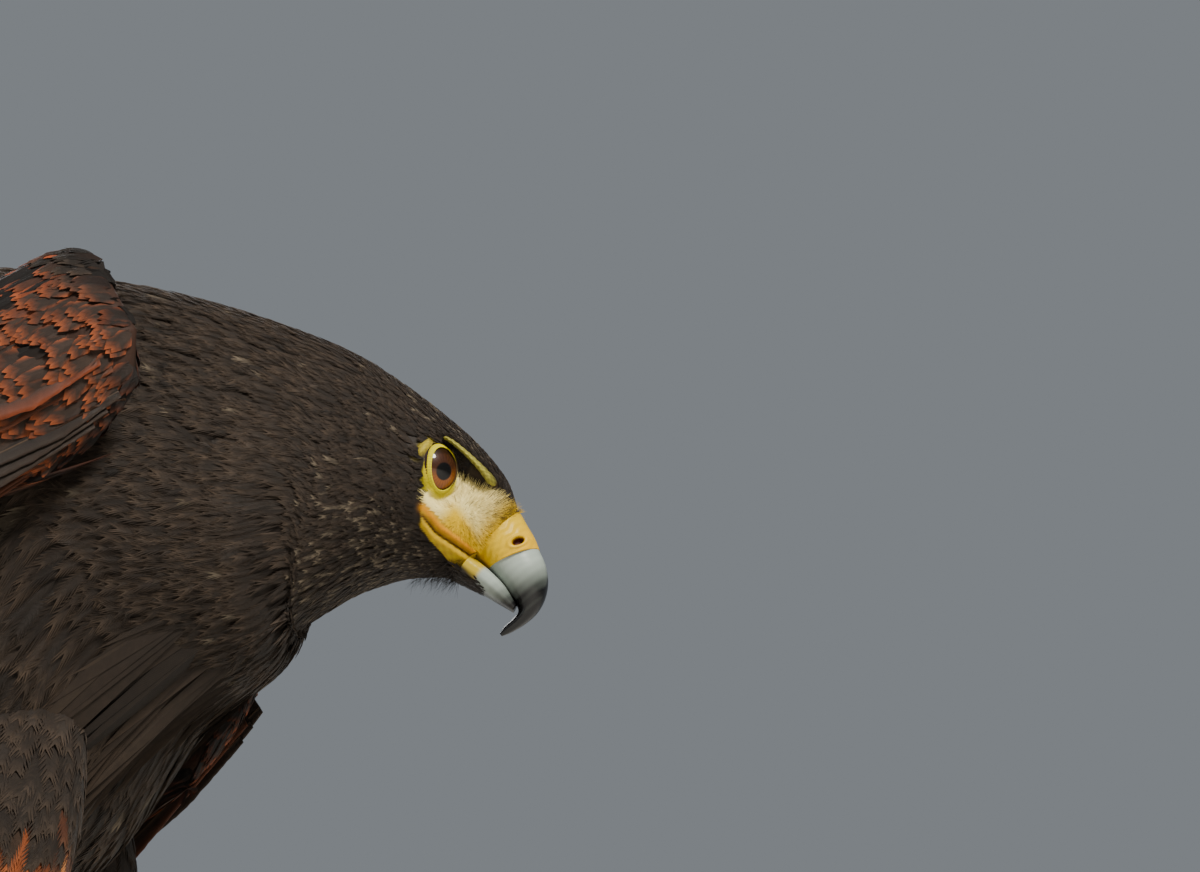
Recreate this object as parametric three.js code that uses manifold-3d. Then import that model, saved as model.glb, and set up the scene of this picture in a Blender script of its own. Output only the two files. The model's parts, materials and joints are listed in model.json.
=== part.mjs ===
// A life-size Harris's hawk that stands on both feet, leans forward and looks down,
// with its wings half folded and held a little off the body.
// Millimetres. +X is where the body heads, +Y is the bird's left, +Z is up.
// The model is laid out with the floor at z = 0 under a body whose middle plane is y = 0.
// At the end the whole group moves so that the origin is the middle of its footprint.
import * as THREE from "three";
import { mergeVertices } from "three/addons/utils/BufferGeometryUtils.js";
import Module from "manifold-3d";

const wasm = await Module();
wasm.setup();

// Driving dimensions

const GAP = 0.35; // clear space between two pieces that meet
const SHORTEST_EDGE = 0.01; // anything shorter is a crumb of a cut
const VANE_THICKNESS = 0.52;
const LAYER_PITCH = 0.88; // from one flight feather to the next that lies over it

const HEAD_PLACE = [103.8, 17.05, 261.2]; // middle of the head, level with the eyes
const HEAD_TURN = 17; // degrees to the bird's left
const HEAD_BOW = 37.4; // degrees that the bill points down

const EYE_RADIUS = 8.7;
const EYE_PLACE = [-3.4, 14.9, -0.9]; // in the head's frame: forward, out from the middle, up
const EYE_FORWARD = 48; // degrees that an eye looks forward of sideways

const HEEL = [-36, 41, 91];
const ANKLE = [-16, 41, 13];
const FOOT_MIDDLE = [-15, 41, 8];
const STRIDE = 18; // how far the left foot stands behind the right one
const PALM_RADII = [10, 8.5, 8];

const TAIL_ROOT = [-111, 0, 143];
const TAIL_DROP = 31; // degrees below level
const TAIL_LENGTH = 203;
const TAIL_FEATHERS = 12;

const PRIMARIES = 10;
const SECONDARIES = 10;
const TERTIALS = 3;

// Small helpers

const radians = THREE.MathUtils.degToRad;
const mix = THREE.MathUtils.lerp;
const vector = (a) => new THREE.Vector3(...a);
const easeBetween = (x, a, b) => THREE.MathUtils.smoothstep(x, a, b);
const range = (n) => Array.from({ length: n }, (_, i) => i);

// The value at x of a line through a few named points [x, value]
function through(points, x) {
  let i = 0;
  while (i < points.length - 2 && x > points[i + 1][0]) i += 1;
  const [x0, y0] = points[i];
  const [x1, y1] = points[i + 1];
  return mix(y0, y1, THREE.MathUtils.clamp((x - x0) / (x1 - x0), 0, 1));
}

// A frame from its forward and up directions, as a matrix whose columns are forward, left and up
function frameAt(place, forward, up) {
  const f = vector(forward).normalize();
  const left = vector(up).cross(f).normalize();
  const u = f.clone().cross(left);
  return new THREE.Matrix4().makeBasis(f, left, u).setPosition(...place);
}

function headFrame() {
  const turn = radians(HEAD_TURN);
  const bow = radians(HEAD_BOW);
  const forward = [Math.cos(bow) * Math.cos(turn), Math.cos(bow) * Math.sin(turn), -Math.sin(bow)];
  return frameAt(HEAD_PLACE, forward, [0, 0, 1]);
}
const HEAD = headFrame();
const inHead = (x, y, z) => new THREE.Vector3(x, y, z).applyMatrix4(HEAD);

// Closed solids

function solidFrom(positions, triangles) {
  const geometry = new THREE.BufferGeometry();
  geometry.setAttribute("position", new THREE.Float32BufferAttribute(positions, 3));
  geometry.setIndex(triangles);
  return solidOf(geometry);
}

function solidOf(geometry) {
  const plain = geometry.clone();
  plain.deleteAttribute("normal");
  plain.deleteAttribute("uv");
  const merged = mergeVertices(plain, 1e-4);
  const mesh = new wasm.Mesh({
    numProp: 3,
    vertProperties: new Float32Array(merged.attributes.position.array),
    triVerts: new Uint32Array(merged.index.array),
  });
  const solid = new wasm.Manifold(mesh);
  return solid.volume() < 0 ? flipped(mesh) : solid;
}

function flipped(mesh) {
  const turned = mesh.triVerts.slice();
  for (let i = 0; i < turned.length; i += 3) [turned[i], turned[i + 1]] = [turned[i + 1], turned[i]];
  const inverse = new wasm.Mesh({ numProp: 3, vertProperties: mesh.vertProperties, triVerts: turned });
  return new wasm.Manifold(inverse);
}

// Rings of equally many points, joined side by side and closed with a fan at each end
function loft(rings) {
  const n = rings[0].length;
  const positions = rings.flatMap((ring) => ring.flatMap((p) => [p.x, p.y, p.z]));
  const triangles = [];
  for (let i = 0; i < rings.length - 1; i += 1) {
    for (let k = 0; k < n; k += 1) {
      const a = i * n + k;
      const b = i * n + ((k + 1) % n);
      triangles.push(a, b, b + n, a, b + n, a + n);
    }
  }
  for (const end of [0, rings.length - 1]) {
    const middle = new THREE.Vector3();
    rings[end].forEach((p) => middle.addScaledVector(p, 1 / n));
    const centre = positions.length / 3;
    positions.push(middle.x, middle.y, middle.z);
    for (let k = 0; k < n; k += 1) {
      const a = end * n + k;
      const b = end * n + ((k + 1) % n);
      triangles.push(...(end === 0 ? [b, a, centre] : [a, b, centre]));
    }
  }
  return solidFrom(positions, triangles);
}

// A ring of round-cornered section: across and upwards are its half axes, both vectors
function sectionRing(centre, across, upwards, sides, { power = 2, pear = 0 } = {}) {
  return range(sides).map((k) => {
    const angle = (2 * Math.PI * k) / sides;
    const c = Math.sign(Math.cos(angle)) * Math.abs(Math.cos(angle)) ** (2 / power);
    const s = Math.sign(Math.sin(angle)) * Math.abs(Math.sin(angle)) ** (2 / power);
    return centre.clone().addScaledVector(across, c * (1 + pear * s)).addScaledVector(upwards, s);
  });
}

const sphere = (place, radii, across = 16, along = 12) => {
  const g = new THREE.SphereGeometry(1, across, along);
  g.scale(...radii);
  return solidOf(g.translate(...place));
};

const boxBetween = (low, high) => {
  const size = low.map((v, i) => high[i] - v);
  const g = new THREE.BoxGeometry(...size);
  return solidOf(g.translate(...low.map((v, i) => (v + high[i]) / 2)));
};

const moved = (solid, matrix) => solid.transform(matrix.toArray());

function union(solids) {
  return wasm.Manifold.union(solids);
}

// The largest closed surface of a solid, without loose scraps or edges too short to matter
function largest(solid) {
  const parts = solid.simplify(SHORTEST_EDGE).decompose();
  return parts.reduce((best, s) => (s.volume() > best.volume() ? s : best), parts[0]);
}

function geometryOf(solid) {
  const mesh = solid.getMesh();
  const positions = new Float32Array(mesh.numVert * 3);
  for (let i = 0; i < mesh.numVert; i += 1) {
    for (let k = 0; k < 3; k += 1) positions[i * 3 + k] = mesh.vertProperties[i * mesh.numProp + k];
  }
  const geometry = new THREE.BufferGeometry();
  geometry.setAttribute("position", new THREE.BufferAttribute(positions, 3));
  geometry.setIndex(new THREE.BufferAttribute(mesh.triVerts, 1));
  return geometry;
}

// Head, neck and torso: one body swept through sections that fan round the bend of the neck.
// Each row is the section's top and bottom, [forward, up], then its half width.
// The head's rows are in the head's frame and the others stand in the body's middle plane.

const HEAD_SECTIONS = [
  { top: [22.2, 6.2], bottom: [19.5, -20.0], half: 9.0 },
  { top: [15.0, 11.3], bottom: [16.0, -21.8], half: 12.2 },
  { top: [8.0, 13.8], bottom: [11.5, -25.0], half: 15.8 },
  { top: [0.0, 15.4], bottom: [6.5, -29.5], half: 20.0 },
  { top: [-9.0, 16.2], bottom: [2.0, -35.5], half: 24.0 },
  { top: [-20.0, 16.6], bottom: [-1.5, -41.5], half: 26.5 },
  { top: [-32.0, 16.4], bottom: [-4.5, -49.5], half: 28.5 },
  { top: [-44.0, 15.4], bottom: [-7.5, -59.0], half: 31.0 },
];
const BODY_SECTIONS = [
  { top: [63, 308], bottom: [64, 217], half: 34, y: 6 },
  { top: [41, 317], bottom: [60, 209], half: 39, y: 3 },
  { top: [16, 325], bottom: [52, 203], half: 45, y: 1 },
  { top: [-11, 331], bottom: [42, 198], half: 50, y: 0 },
  { top: [-37, 335], bottom: [32, 191], half: 54, y: 0 },
  { top: [-64, 321], bottom: [20, 175], half: 55, y: 0 },
  { top: [-86, 292], bottom: [6, 156], half: 53, y: 0 },
  { top: [-101, 255], bottom: [-15, 139], half: 46, y: 0 },
  { top: [-112, 222], bottom: [-43, 128], half: 36, y: 0 },
  { top: [-121, 192], bottom: [-73, 125], half: 26, y: 0 },
  { top: [-128, 167], bottom: [-98, 126], half: 18, y: 0 },
];
const SECTION_POWER = 2.25;
const BREAST_SWELL = 0.1; // the body is this much wider low down than its middle, and narrower above
const NECK_START = HEAD_SECTIONS.length - 1;
const TORSO_START = NECK_START + 3;
const BODY_END = HEAD_SECTIONS.length + BODY_SECTIONS.length - 1;

const bodyCurves = (() => {
  const rows = [
    ...HEAD_SECTIONS.map((s) => ({
      top: inHead(s.top[0], 0, s.top[1]),
      bottom: inHead(s.bottom[0], 0, s.bottom[1]),
      half: s.half,
      turn: HEAD_TURN,
    })),
    ...BODY_SECTIONS.map((s, i) => ({
      top: new THREE.Vector3(s.top[0], s.y, s.top[1]),
      bottom: new THREE.Vector3(s.bottom[0], s.y, s.bottom[1]),
      half: s.half,
      turn: Math.max(0, HEAD_TURN * (1 - (i + 1) / 4)),
    })),
  ];
  const curve = (points) => new THREE.CatmullRomCurve3(points, false, "catmullrom", 0.5);
  return {
    top: curve(rows.map((r) => r.top)),
    bottom: curve(rows.map((r) => r.bottom)),
    sizes: curve(rows.map((r) => new THREE.Vector3(r.half, r.turn, 0))),
  };
})();

// The section at station s, counted along the rows, made larger all round by grow
function bodyRing(s, sides, grow = 0) {
  const t = s / BODY_END;
  const top = bodyCurves.top.getPoint(t);
  const bottom = bodyCurves.bottom.getPoint(t);
  const sizes = bodyCurves.sizes.getPoint(t);
  const turn = radians(sizes.y);
  const across = new THREE.Vector3(-Math.sin(turn), Math.cos(turn), 0);
  const upwards = top.clone().sub(bottom).multiplyScalar(0.5);
  const centre = top.clone().add(bottom).multiplyScalar(0.5);
  upwards.setLength(upwards.length() + grow);
  const pear = -BREAST_SWELL * easeBetween(s, NECK_START, TORSO_START + 2);
  const shape = { power: SECTION_POWER, pear };
  return sectionRing(centre, across.multiplyScalar(sizes.x + grow), upwards, sides, shape);
}

function bodyLength(from, to, rings, sides, grow = 0) {
  return loft(range(rings + 1).map((i) => bodyRing(mix(from, to, i / rings), sides, grow)));
}

const SEAM = 0.03; // of a station: leaves GAP or a little more between two lengths of the body
const BODY_SIDES = 24;

function makeHead() {
  const skull = bodyLength(0, NECK_START - SEAM, 13, BODY_SIDES);
  const additions = [skull];
  const cuts = [mouthSlit()];
  for (const side of [-1, 1]) {
    additions.push(lidRing(side), browRidge(side));
    const [x, y, z] = EYE_PLACE;
    cuts.push(moved(sphere([x, side * y, z], Array(3).fill(EYE_RADIUS + GAP), 14, 9), HEAD));
  }
  return largest(union(additions).subtract(union(cuts)));
}

// The line of the mouth, cut from the corner of the gape to the front of the face
function mouthSlit() {
  const [corner, front] = [[3.6, -13.4], [26, -12.0]];
  const half = 0.4;
  const corners = [[-30, half], [30, half], [30, -half], [-30, -half]];
  const ring = ([x, z]) => corners.map(([y, h]) => inHead(x, y, z + h));
  return loft([ring(corner), ring(front)]);
}

// The bare rim of both lids: an upright oval tube that stands just proud of the eyeball
const LID = { high: 7.1, wide: 6.0, thick: 1.7, out: 6.2, around: 16, tube: 5 };

function lidRing(side) {
  const forward = radians(EYE_FORWARD);
  const axis = new THREE.Vector3(Math.sin(forward), side * Math.cos(forward), 0);
  const across = new THREE.Vector3(0, 0, 1).cross(axis);
  const [x, y, z] = EYE_PLACE;
  const middle = new THREE.Vector3(x, side * y, z).addScaledVector(axis, LID.out);
  const corners = range(LID.around).flatMap((i) => {
    const a = (2 * Math.PI * i) / LID.around;
    const radial = across.clone().multiplyScalar(LID.wide * Math.cos(a)).setZ(LID.high * Math.sin(a));
    const centre = middle.clone().add(radial);
    radial.normalize();
    return range(LID.tube).map((k) => {
      const b = (2 * Math.PI * k) / LID.tube;
      const [r, h] = [LID.thick * Math.cos(b), LID.thick * Math.sin(b)];
      return centre.clone().addScaledVector(radial, r).addScaledVector(axis, h);
    });
  });
  const triangles = [];
  range(LID.around * LID.tube).forEach((n) => {
    const [i, k] = [Math.floor(n / LID.tube), n % LID.tube];
    const at = (di, dk) => ((i + di) % LID.around) * LID.tube + ((k + dk) % LID.tube);
    triangles.push(at(0, 0), at(1, 0), at(1, 1), at(0, 0), at(1, 1), at(0, 1));
  });
  return moved(solidFrom(corners.flatMap((c) => [c.x, c.y, c.z]), triangles), HEAD);
}

// The bony ridge that shades the eye
function browRidge(side) {
  const line = [
    { at: [-8.5, 17.0, 7.6], wide: 3.4, high: 1.7 },
    { at: [-3.5, 17.6, 8.1], wide: 4.2, high: 1.8 },
    { at: [2.0, 16.6, 8.3], wide: 4.4, high: 1.8 },
    { at: [8.0, 14.0, 8.3], wide: 3.8, high: 1.6 },
    { at: [13.5, 10.4, 7.8], wide: 2.6, high: 1.3 },
  ];
  const rings = line.map(({ at: [x, y, z], wide, high }) => {
    const across = new THREE.Vector3(0, side, -0.22).normalize().multiplyScalar(wide);
    return sectionRing(new THREE.Vector3(x, side * y, z), across, new THREE.Vector3(0, 0, high), 6);
  });
  return moved(loft(rings), HEAD);
}

function makeEye(side) {
  const [x, y, z] = EYE_PLACE;
  return moved(sphere([x, side * y, z], Array(3).fill(EYE_RADIUS), 12, 9), HEAD);
}

// Bill: the cere, the hooked upper half and the lower half, from sections in the head's frame

const CERE_SECTIONS = [
  { top: [22.6, 6.3], bottom: [20.4, -12.2], half: 8.8 },
  { top: [26.2, 4.7], bottom: [22.2, -12.2], half: 8.5 },
  { top: [30.2, 3.0], bottom: [23.9, -12.3], half: 8.0 },
  { top: [33.4, 1.1], bottom: [25.4, -12.5], half: 7.4 },
];
const UPPER_BILL_SECTIONS = [
  { top: [33.8, 0.9], bottom: [25.8, -12.6], half: 7.3 },
  { top: [37.4, -1.3], bottom: [30.2, -13.2], half: 6.9 },
  { top: [41.0, -4.7], bottom: [34.6, -14.5], half: 6.0 },
  { top: [43.3, -9.0], bottom: [38.0, -15.6], half: 4.8 },
  { top: [44.1, -13.6], bottom: [39.7, -17.1], half: 3.6 },
  { top: [43.4, -18.2], bottom: [39.7, -19.6], half: 2.5 },
  { top: [41.8, -22.6], bottom: [39.2, -22.7], half: 1.5 },
  { top: [40.3, -25.3], bottom: [39.3, -25.0], half: 0.5 },
];
const LOWER_BILL_SECTIONS = [
  { top: [20.3, -12.9], bottom: [20.0, -20.0], half: 8.2 },
  { top: [26.0, -13.3], bottom: [27.0, -18.8], half: 6.6 },
  { top: [32.0, -14.4], bottom: [33.0, -18.3], half: 4.8 },
  { top: [37.6, -16.3], bottom: [38.2, -17.8], half: 2.4 },
];
const BILL_SIDES = 14;

function headLoft(sections, steps, power = 2.1) {
  const line = (pick) => sections.map((s) => vector(pick(s)));
  const curve = (pick) => new THREE.CatmullRomCurve3(line(pick), false, "catmullrom");
  const tops = curve(({ top }) => [top[0], 0, top[1]]);
  const bottoms = curve(({ bottom }) => [bottom[0], 0, bottom[1]]);
  const halves = curve(({ half }) => [half, 0, 0]);
  const rings = range(steps + 1).map((i) => {
    const t = i / steps;
    const top = tops.getPoint(t);
    const bottom = bottoms.getPoint(t);
    const upwards = top.clone().sub(bottom).multiplyScalar(0.5);
    const across = new THREE.Vector3(0, halves.getPoint(t).x, 0);
    return sectionRing(top.add(bottom).multiplyScalar(0.5), across, upwards, BILL_SIDES, { power });
  });
  return moved(loft(rings), HEAD);
}

function makeCere() {
  const nostrils = [-1, 1].map((side) => sphere([28.2, side * 8.4, -2.0], [1.9, 2.6, 1.3], 10, 6));
  return largest(headLoft(CERE_SECTIONS, 4).subtract(moved(union(nostrils), HEAD)));
}

// Legs

// The left leg stands a stride behind the right one
const legPlace = (side, [x, y, z]) => new THREE.Vector3(side > 0 ? x - STRIDE : x, side * y, z);

// A limb through the given places: deep is its half depth front to back, wide its half width
function limb(side, line, sides, steps) {
  const curve = (pick) => new THREE.CatmullRomCurve3(line.map(pick), false, "catmullrom");
  const places = curve(({ at }) => legPlace(side, at));
  const sizes = curve(({ deep, wide }) => new THREE.Vector3(deep, wide, 0));
  const rings = range(steps + 1).map((i) => {
    const t = i / steps;
    const size = sizes.getPoint(t);
    const forward = new THREE.Vector3(0, 1, 0).cross(places.getTangent(t)).setLength(size.x);
    return sectionRing(places.getPoint(t), new THREE.Vector3(0, side * size.y, 0), forward, sides);
  });
  return loft(rings);
}

const LEFT_THIGH_DEPTH = 0.87; // the feathers of the left thigh lie sleeker

// The feathered thigh, from inside the flank to the heel
function thigh(side, grow = 0) {
  const depth = side > 0 ? LEFT_THIGH_DEPTH : 1;
  const line = [
    { at: [-4, 14, 214], deep: 13, wide: 9 },
    { at: [-4, 31, 186], deep: 22, wide: 16 },
    { at: [-6, 40, 156], deep: 27, wide: 21 },
    { at: [-12, 42.5, 132], deep: 24, wide: 19 },
    { at: [-21, 42.5, 112], deep: 18, wide: 15 },
    { at: [-29, 42, 97], deep: 12, wide: 10.5 },
    { at: [-34.5, 41.5, 86 - grow], deep: 8.2, wide: 7.6 },
  ];
  const grown = line.map((s) => ({ at: s.at, deep: s.deep * depth + grow, wide: s.wide + grow }));
  return limb(side, grown, 14, 9);
}

const SCUTES = 9;
const SCUTE_STEP = 0.55;

// The bare shank: each scute is a low step that overlaps the one below it
function shank(side) {
  const girth = [[0, 6.6], [0.12, 5.6], [0.5, 4.8], [0.85, 5.2], [1, 6.4]];
  const line = [];
  for (let i = 0; i < SCUTES; i += 1) {
    for (const [t, step] of [[(i + 0.04) / SCUTES, 0], [(i + 0.96) / SCUTES, SCUTE_STEP]]) {
      const r = through(girth, t) + step;
      line.push({ at: HEEL.map((v, k) => mix(v, ANKLE[k], t)), deep: r * 1.08, wide: r * 0.95 });
    }
  }
  return limb(side, line, 8, line.length - 1);
}

const palm = (side, grow = 0) =>
  sphere(legPlace(side, FOOT_MIDDLE).toArray(), PALM_RADII.map((r) => r + grow), 12, 8);

// Toes: heading in degrees outward from straight ahead, length to the root of the claw,
// thickness at the root, pads under it, then the claw's bend radius
const TOES = {
  inner: { heading: -34, length: 40, girth: 5.4, pads: 3, hook: 13.5 },
  middle: { heading: 2, length: 54, girth: 5.0, pads: 4, hook: 12.0 },
  outer: { heading: 36, length: 43, girth: 4.7, pads: 3, hook: 11.0 },
  hind: { heading: 172, length: 33, girth: 5.6, pads: 2, hook: 14.5 },
};
const PAD_SWELL = 0.5;
const CLAW_RISE = 34; // degrees above level where a claw leaves its toe
const CLAW_DIP = -58; // and below level at its tip

function toeAlong(side, { heading }) {
  const a = radians(heading);
  return new THREE.Vector3(Math.cos(a), side * Math.sin(a), 0);
}

function toeThickness({ girth, pads }, t) {
  return mix(girth, girth * 0.72, t) - PAD_SWELL * Math.cos(2 * Math.PI * pads * t);
}

function toe(side, spec, grow = 0) {
  const along = toeAlong(side, spec);
  const across = new THREE.Vector3(0, 0, 1).cross(along);
  const steps = spec.pads * 2;
  const start = legPlace(side, FOOT_MIDDLE);
  const rings = range(steps + 1).map((i) => {
    const t = i / steps;
    const r = toeThickness(spec, t);
    const centre = start.clone().addScaledVector(along, t * spec.length + (i === steps ? grow : 0));
    centre.z = mix(spec.girth, spec.girth * 0.72, t) - 0.7;
    const half = across.clone().multiplyScalar(r * 1.05 + grow);
    return sectionRing(centre, half, new THREE.Vector3(0, 0, r + grow), 8);
  });
  return loft(rings);
}

function claw(side, spec) {
  const along = toeAlong(side, spec);
  const across = new THREE.Vector3(0, 0, 1).cross(along);
  const root = toeThickness(spec, 1) * 0.72;
  const place = legPlace(side, FOOT_MIDDLE).setZ(toeThickness(spec, 1));
  place.addScaledVector(along, spec.length - 2.5);
  const steps = 5;
  const bend = radians(CLAW_DIP - CLAW_RISE) / steps;
  const rings = range(steps + 1).map((i) => {
    const angle = radians(CLAW_RISE) + bend * i;
    const forward = along.clone().multiplyScalar(Math.cos(angle)).setZ(Math.sin(angle));
    if (i > 0) place.addScaledVector(forward, spec.hook * Math.abs(bend));
    const r = Math.max(0.35, root * (1 - (i / steps) ** 1.4));
    const upwards = forward.clone().cross(across).multiplyScalar(r);
    return sectionRing(place.clone(), across.clone().multiplyScalar(r * 0.8), upwards, 6);
  });
  return loft(rings);
}

// Feather vanes: laid out flat as (p along, q across, h out) and then bent onto a sheet

// Half width along a vane, as a share of its widest
const BROAD_VANE = [[0, 0.35], [0.35, 1], [0.86, 0.94], [1, 0.28]];
const POINTED_VANE = [[0, 0.3], [0.25, 0.98], [0.6, 0.94], [0.88, 0.55], [1, 0.14]];
const SHORT_VANE = [[0, 0.45], [0.4, 1], [0.8, 0.85], [1, 0.26]];
const VANE_TILT = 0.35; // each vane's leading edge stands higher than its middle by this

function vane({ p, q, h, angle, length, width, bend = 0, tilt = VANE_TILT, shape = BROAD_VANE }, sheet) {
  let [x, y, before] = [p, q, 0];
  const corners = [];
  for (const [t, share] of shape) {
    const heading = radians(angle + (bend * (t + before)) / 2);
    x += (t - before) * length * Math.cos(heading);
    y += (t - before) * length * Math.sin(heading);
    before = t;
    const half = (share * width) / 2;
    const [dx, dy] = [-Math.sin(heading) * half, Math.cos(heading) * half];
    const up = VANE_THICKNESS / 2;
    corners.push(sheet(x + dx, y + dy, h - tilt + up), sheet(x - dx, y - dy, h + tilt + up));
    corners.push(sheet(x - dx, y - dy, h + tilt - up), sheet(x + dx, y + dy, h - tilt - up));
  }
  const triangles = [0, 1, 2, 0, 2, 3];
  for (let i = 0; i < shape.length - 1; i += 1) {
    const a = 4 * i;
    const b = a + 4;
    triangles.push(a, b + 1, a + 1, a, b, b + 1); // upper face
    triangles.push(a + 3, a + 2, b + 2, a + 3, b + 2, b + 3); // lower face
    triangles.push(a + 1, b + 1, b + 2, a + 1, b + 2, a + 2);
    triangles.push(a, a + 3, b + 3, a, b + 3, b);
  }
  const e = 4 * (shape.length - 1);
  triangles.push(e, e + 2, e + 1, e, e + 3, e + 2);
  return solidFrom(corners.flatMap((c) => [c.x, c.y, c.z]), triangles);
}

// Wings: p runs back from the wrist, q runs in from the leading edge to the shoulder

const WINGS = {
  right: {
    side: -1,
    wrist: [53, -60, 273],
    splay: 16, // degrees that the wing heads outward as it runs back
    drop: 29, // degrees that it heads down
    lean: 14, // degrees that the sheet leans in over the body at its leading edge
    flat: 22, // from the leading edge to where it starts to bend over the back
    elbow: [78, 48],
    reach: 80, // from the leading edge to the shoulder
    shoulder: 4, // how far back the front of the shoulder lies
  },
  left: {
    side: 1,
    wrist: [39, 60, 214.5],
    splay: 18,
    drop: 32,
    lean: 6,
    flat: 60,
    elbow: [74, 66],
    reach: 108,
    shoulder: 14,
  },
};
const FLAT_ROUND = 420; // radius of the wing's gentle camber over its lower part
const SHOULDER_ROUND = [[30, 36], [150, 110]]; // and of its bend over the back, opening as p runs back
const WING_BOW = 800; // radius that brings the wing's tip back in towards the tail
const HAND_END = 75; // where the longest finger ends, back from the wrist
const LAYER_ZERO = -10; // height of the outermost primary, the lowest layer

function wingSheet({ side, wrist, splay, drop, lean, flat }) {
  const [s, d] = [radians(splay), radians(drop)];
  const back = new THREE.Vector3(-Math.cos(d) * Math.cos(s), side * Math.cos(d) * Math.sin(s), -Math.sin(d));
  const outward = new THREE.Vector3(Math.sin(s), side * Math.cos(s), 0);
  const chord = new THREE.Vector3(0, 0, 1).addScaledVector(back, -back.z).normalize();
  const start = radians(lean);
  const bendStart = start + flat / FLAT_ROUND;
  // An arc's rise and tuck between two lean angles
  const arc = (radius, a, b) => [radius * (Math.sin(b) - Math.sin(a)), radius * (Math.cos(b) - Math.cos(a))];
  return (p, q, h) => {
    const above = Math.max(0, q - flat);
    const round = through(SHOULDER_ROUND, p);
    const low = start + (q - above) / FLAT_ROUND;
    const a = low + above / round;
    const [rise0, tuck0] = arc(FLAT_ROUND, start, low);
    const [rise1, tuck1] = arc(round, bendStart, bendStart + above / round);
    const bow = Math.max(0, p - 50) ** 2 / (2 * WING_BOW);
    return vector(wrist)
      .addScaledVector(back, p)
      .addScaledVector(chord, rise0 + rise1 + h * Math.sin(a))
      .addScaledVector(outward, tuck0 + tuck1 - bow + h * Math.cos(a));
  };
}

// Height of the arm's middle surface, which climbs inwards as the feathers stack up
function armLevel({ elbow, reach }, q) {
  return through([[-3, -7], [6, -4], [16, 2.5], [elbow[1], 10], [reach, 5]], q);
}

function wingArm(spec, sheet) {
  const { elbow, reach, shoulder } = spec;
  const front = [[-3, 34], [0, 20], [7, 7], [18, 0], [45, 0], [reach, shoulder]];
  const rear = [[-3, 58], [0, 80], [12, 90], [30, 86], [elbow[1], elbow[0] + 14], [reach, 74]];
  const thick = [[-3, 1.6], [0, 4.5], [10, 8], [40, 8], [elbow[1], 8], [reach, 4.5]];
  const levels = [-3, 0, 5, 12, 24, mix(24, elbow[1], 0.6), elbow[1], mix(elbow[1], reach, 0.5), reach];
  const sides = 10;
  const rings = levels.map((q) =>
    range(sides).map((k) => {
      const angle = (2 * Math.PI * k) / sides;
      const share = (1 - Math.cos(angle)) / 2;
      const bulge = Math.min(1, share / 0.15) ** 0.5 * (1 - share) ** 0.6;
      const half = k % (sides / 2) === 0 ? 0 : through(thick, q) * bulge + 1;
      const p = mix(through(front, q), through(rear, q), share);
      return sheet(p, q, armLevel(spec, q) + Math.sign(Math.sin(angle)) * half);
    }),
  );
  return loft(rings);
}

// Every flight feather of a wing, from the outermost primary to the innermost tertial
function flightFeathers({ elbow }) {
  const feathers = [];
  range(PRIMARIES).forEach((i) => {
    const t = i / (PRIMARIES - 1);
    const longest = 272 - 82 * Math.max(0, (t - 0.33) / 0.67) - 78 * Math.max(0, (0.33 - t) / 0.33);
    feathers.push({
      kind: "primary",
      p: mix(HAND_END - 8, 14, t),
      q: mix(5, 12, t),
      angle: mix(-2, 8, t),
      bend: mix(5, 3, t),
      length: longest,
      width: mix(24, 31, t),
      shape: POINTED_VANE,
    });
  });
  range(SECONDARIES).forEach((i) => {
    const t = i / (SECONDARIES - 1);
    feathers.push({
      kind: "secondary",
      p: mix(10, elbow[0] - 6, t),
      q: mix(14, elbow[1], t),
      angle: mix(9, 17, t),
      bend: 3,
      length: mix(186, 148, t),
      width: mix(33, 35, t),
    });
  });
  range(TERTIALS).forEach((i) => {
    const t = (i + 1) / TERTIALS;
    feathers.push({
      kind: "tertial",
      p: mix(elbow[0] - 6, elbow[0] - 14, t),
      q: elbow[1] + 17 * t,
      angle: mix(17, 19, t),
      bend: 2,
      length: mix(140, 104, t),
      width: 34,
    });
  });
  return feathers.map((f, i) => ({ ...f, h: LAYER_ZERO + i * LAYER_PITCH }));
}

const COVERT_LIFT = 6.4; // greater coverts clear the flight feathers that overlap theirs
const MEDIAN_LIFT = 4.2; // and median coverts the greater ones
const SCAPULAR_LIFT = 8.5; // scapulars lie on the arm, each higher than the one outside it

function coverts(spec, flight) {
  const { elbow, reach } = spec;
  const secondaries = flight.filter((f) => f.kind === "secondary");
  const made = [];
  const short = { bend: 0, shape: SHORT_VANE };
  secondaries.forEach((f, i) => {
    made.push({ ...f, ...short, p: f.p + 2, h: f.h + COVERT_LIFT, length: 84, width: 23 });
    if (i % 2 === 1) return;
    const h = f.h + COVERT_LIFT + MEDIAN_LIFT;
    made.push({ ...f, ...short, p: f.p - 4, q: f.q + 2, h, length: 56, width: 26 });
  });
  // Greater coverts of the hand, and over them the alula: three stiff feathers on the thumb
  range(4).forEach((i) => {
    const h = 0.4 + LAYER_PITCH * i;
    made.push({ ...short, p: 46 - 9 * i, q: 1 + 1.5 * i, h, angle: i - 1, length: 88, width: 17 });
  });
  range(3).forEach((i) => {
    const h = 4.8 + LAYER_PITCH * i;
    made.push({ ...short, p: 24 - 5 * i, q: 2 + 2 * i, h, angle: 1, length: 72 - 13 * i, width: 13 });
  });
  // Scapulars, which hang back over the root of the wing
  range(5).forEach((i) => {
    const t = i / 4;
    const q = mix(elbow[1] + 6, reach - 6, t);
    const h = armLevel(spec, q) + SCAPULAR_LIFT + 1.2 * i;
    const [p, angle, length] = [mix(34, 24, t), mix(20, 16, t), mix(92, 112, t)];
    made.push({ ...short, p, q, h, angle, length, width: 26 });
  });
  return made;
}

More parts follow.
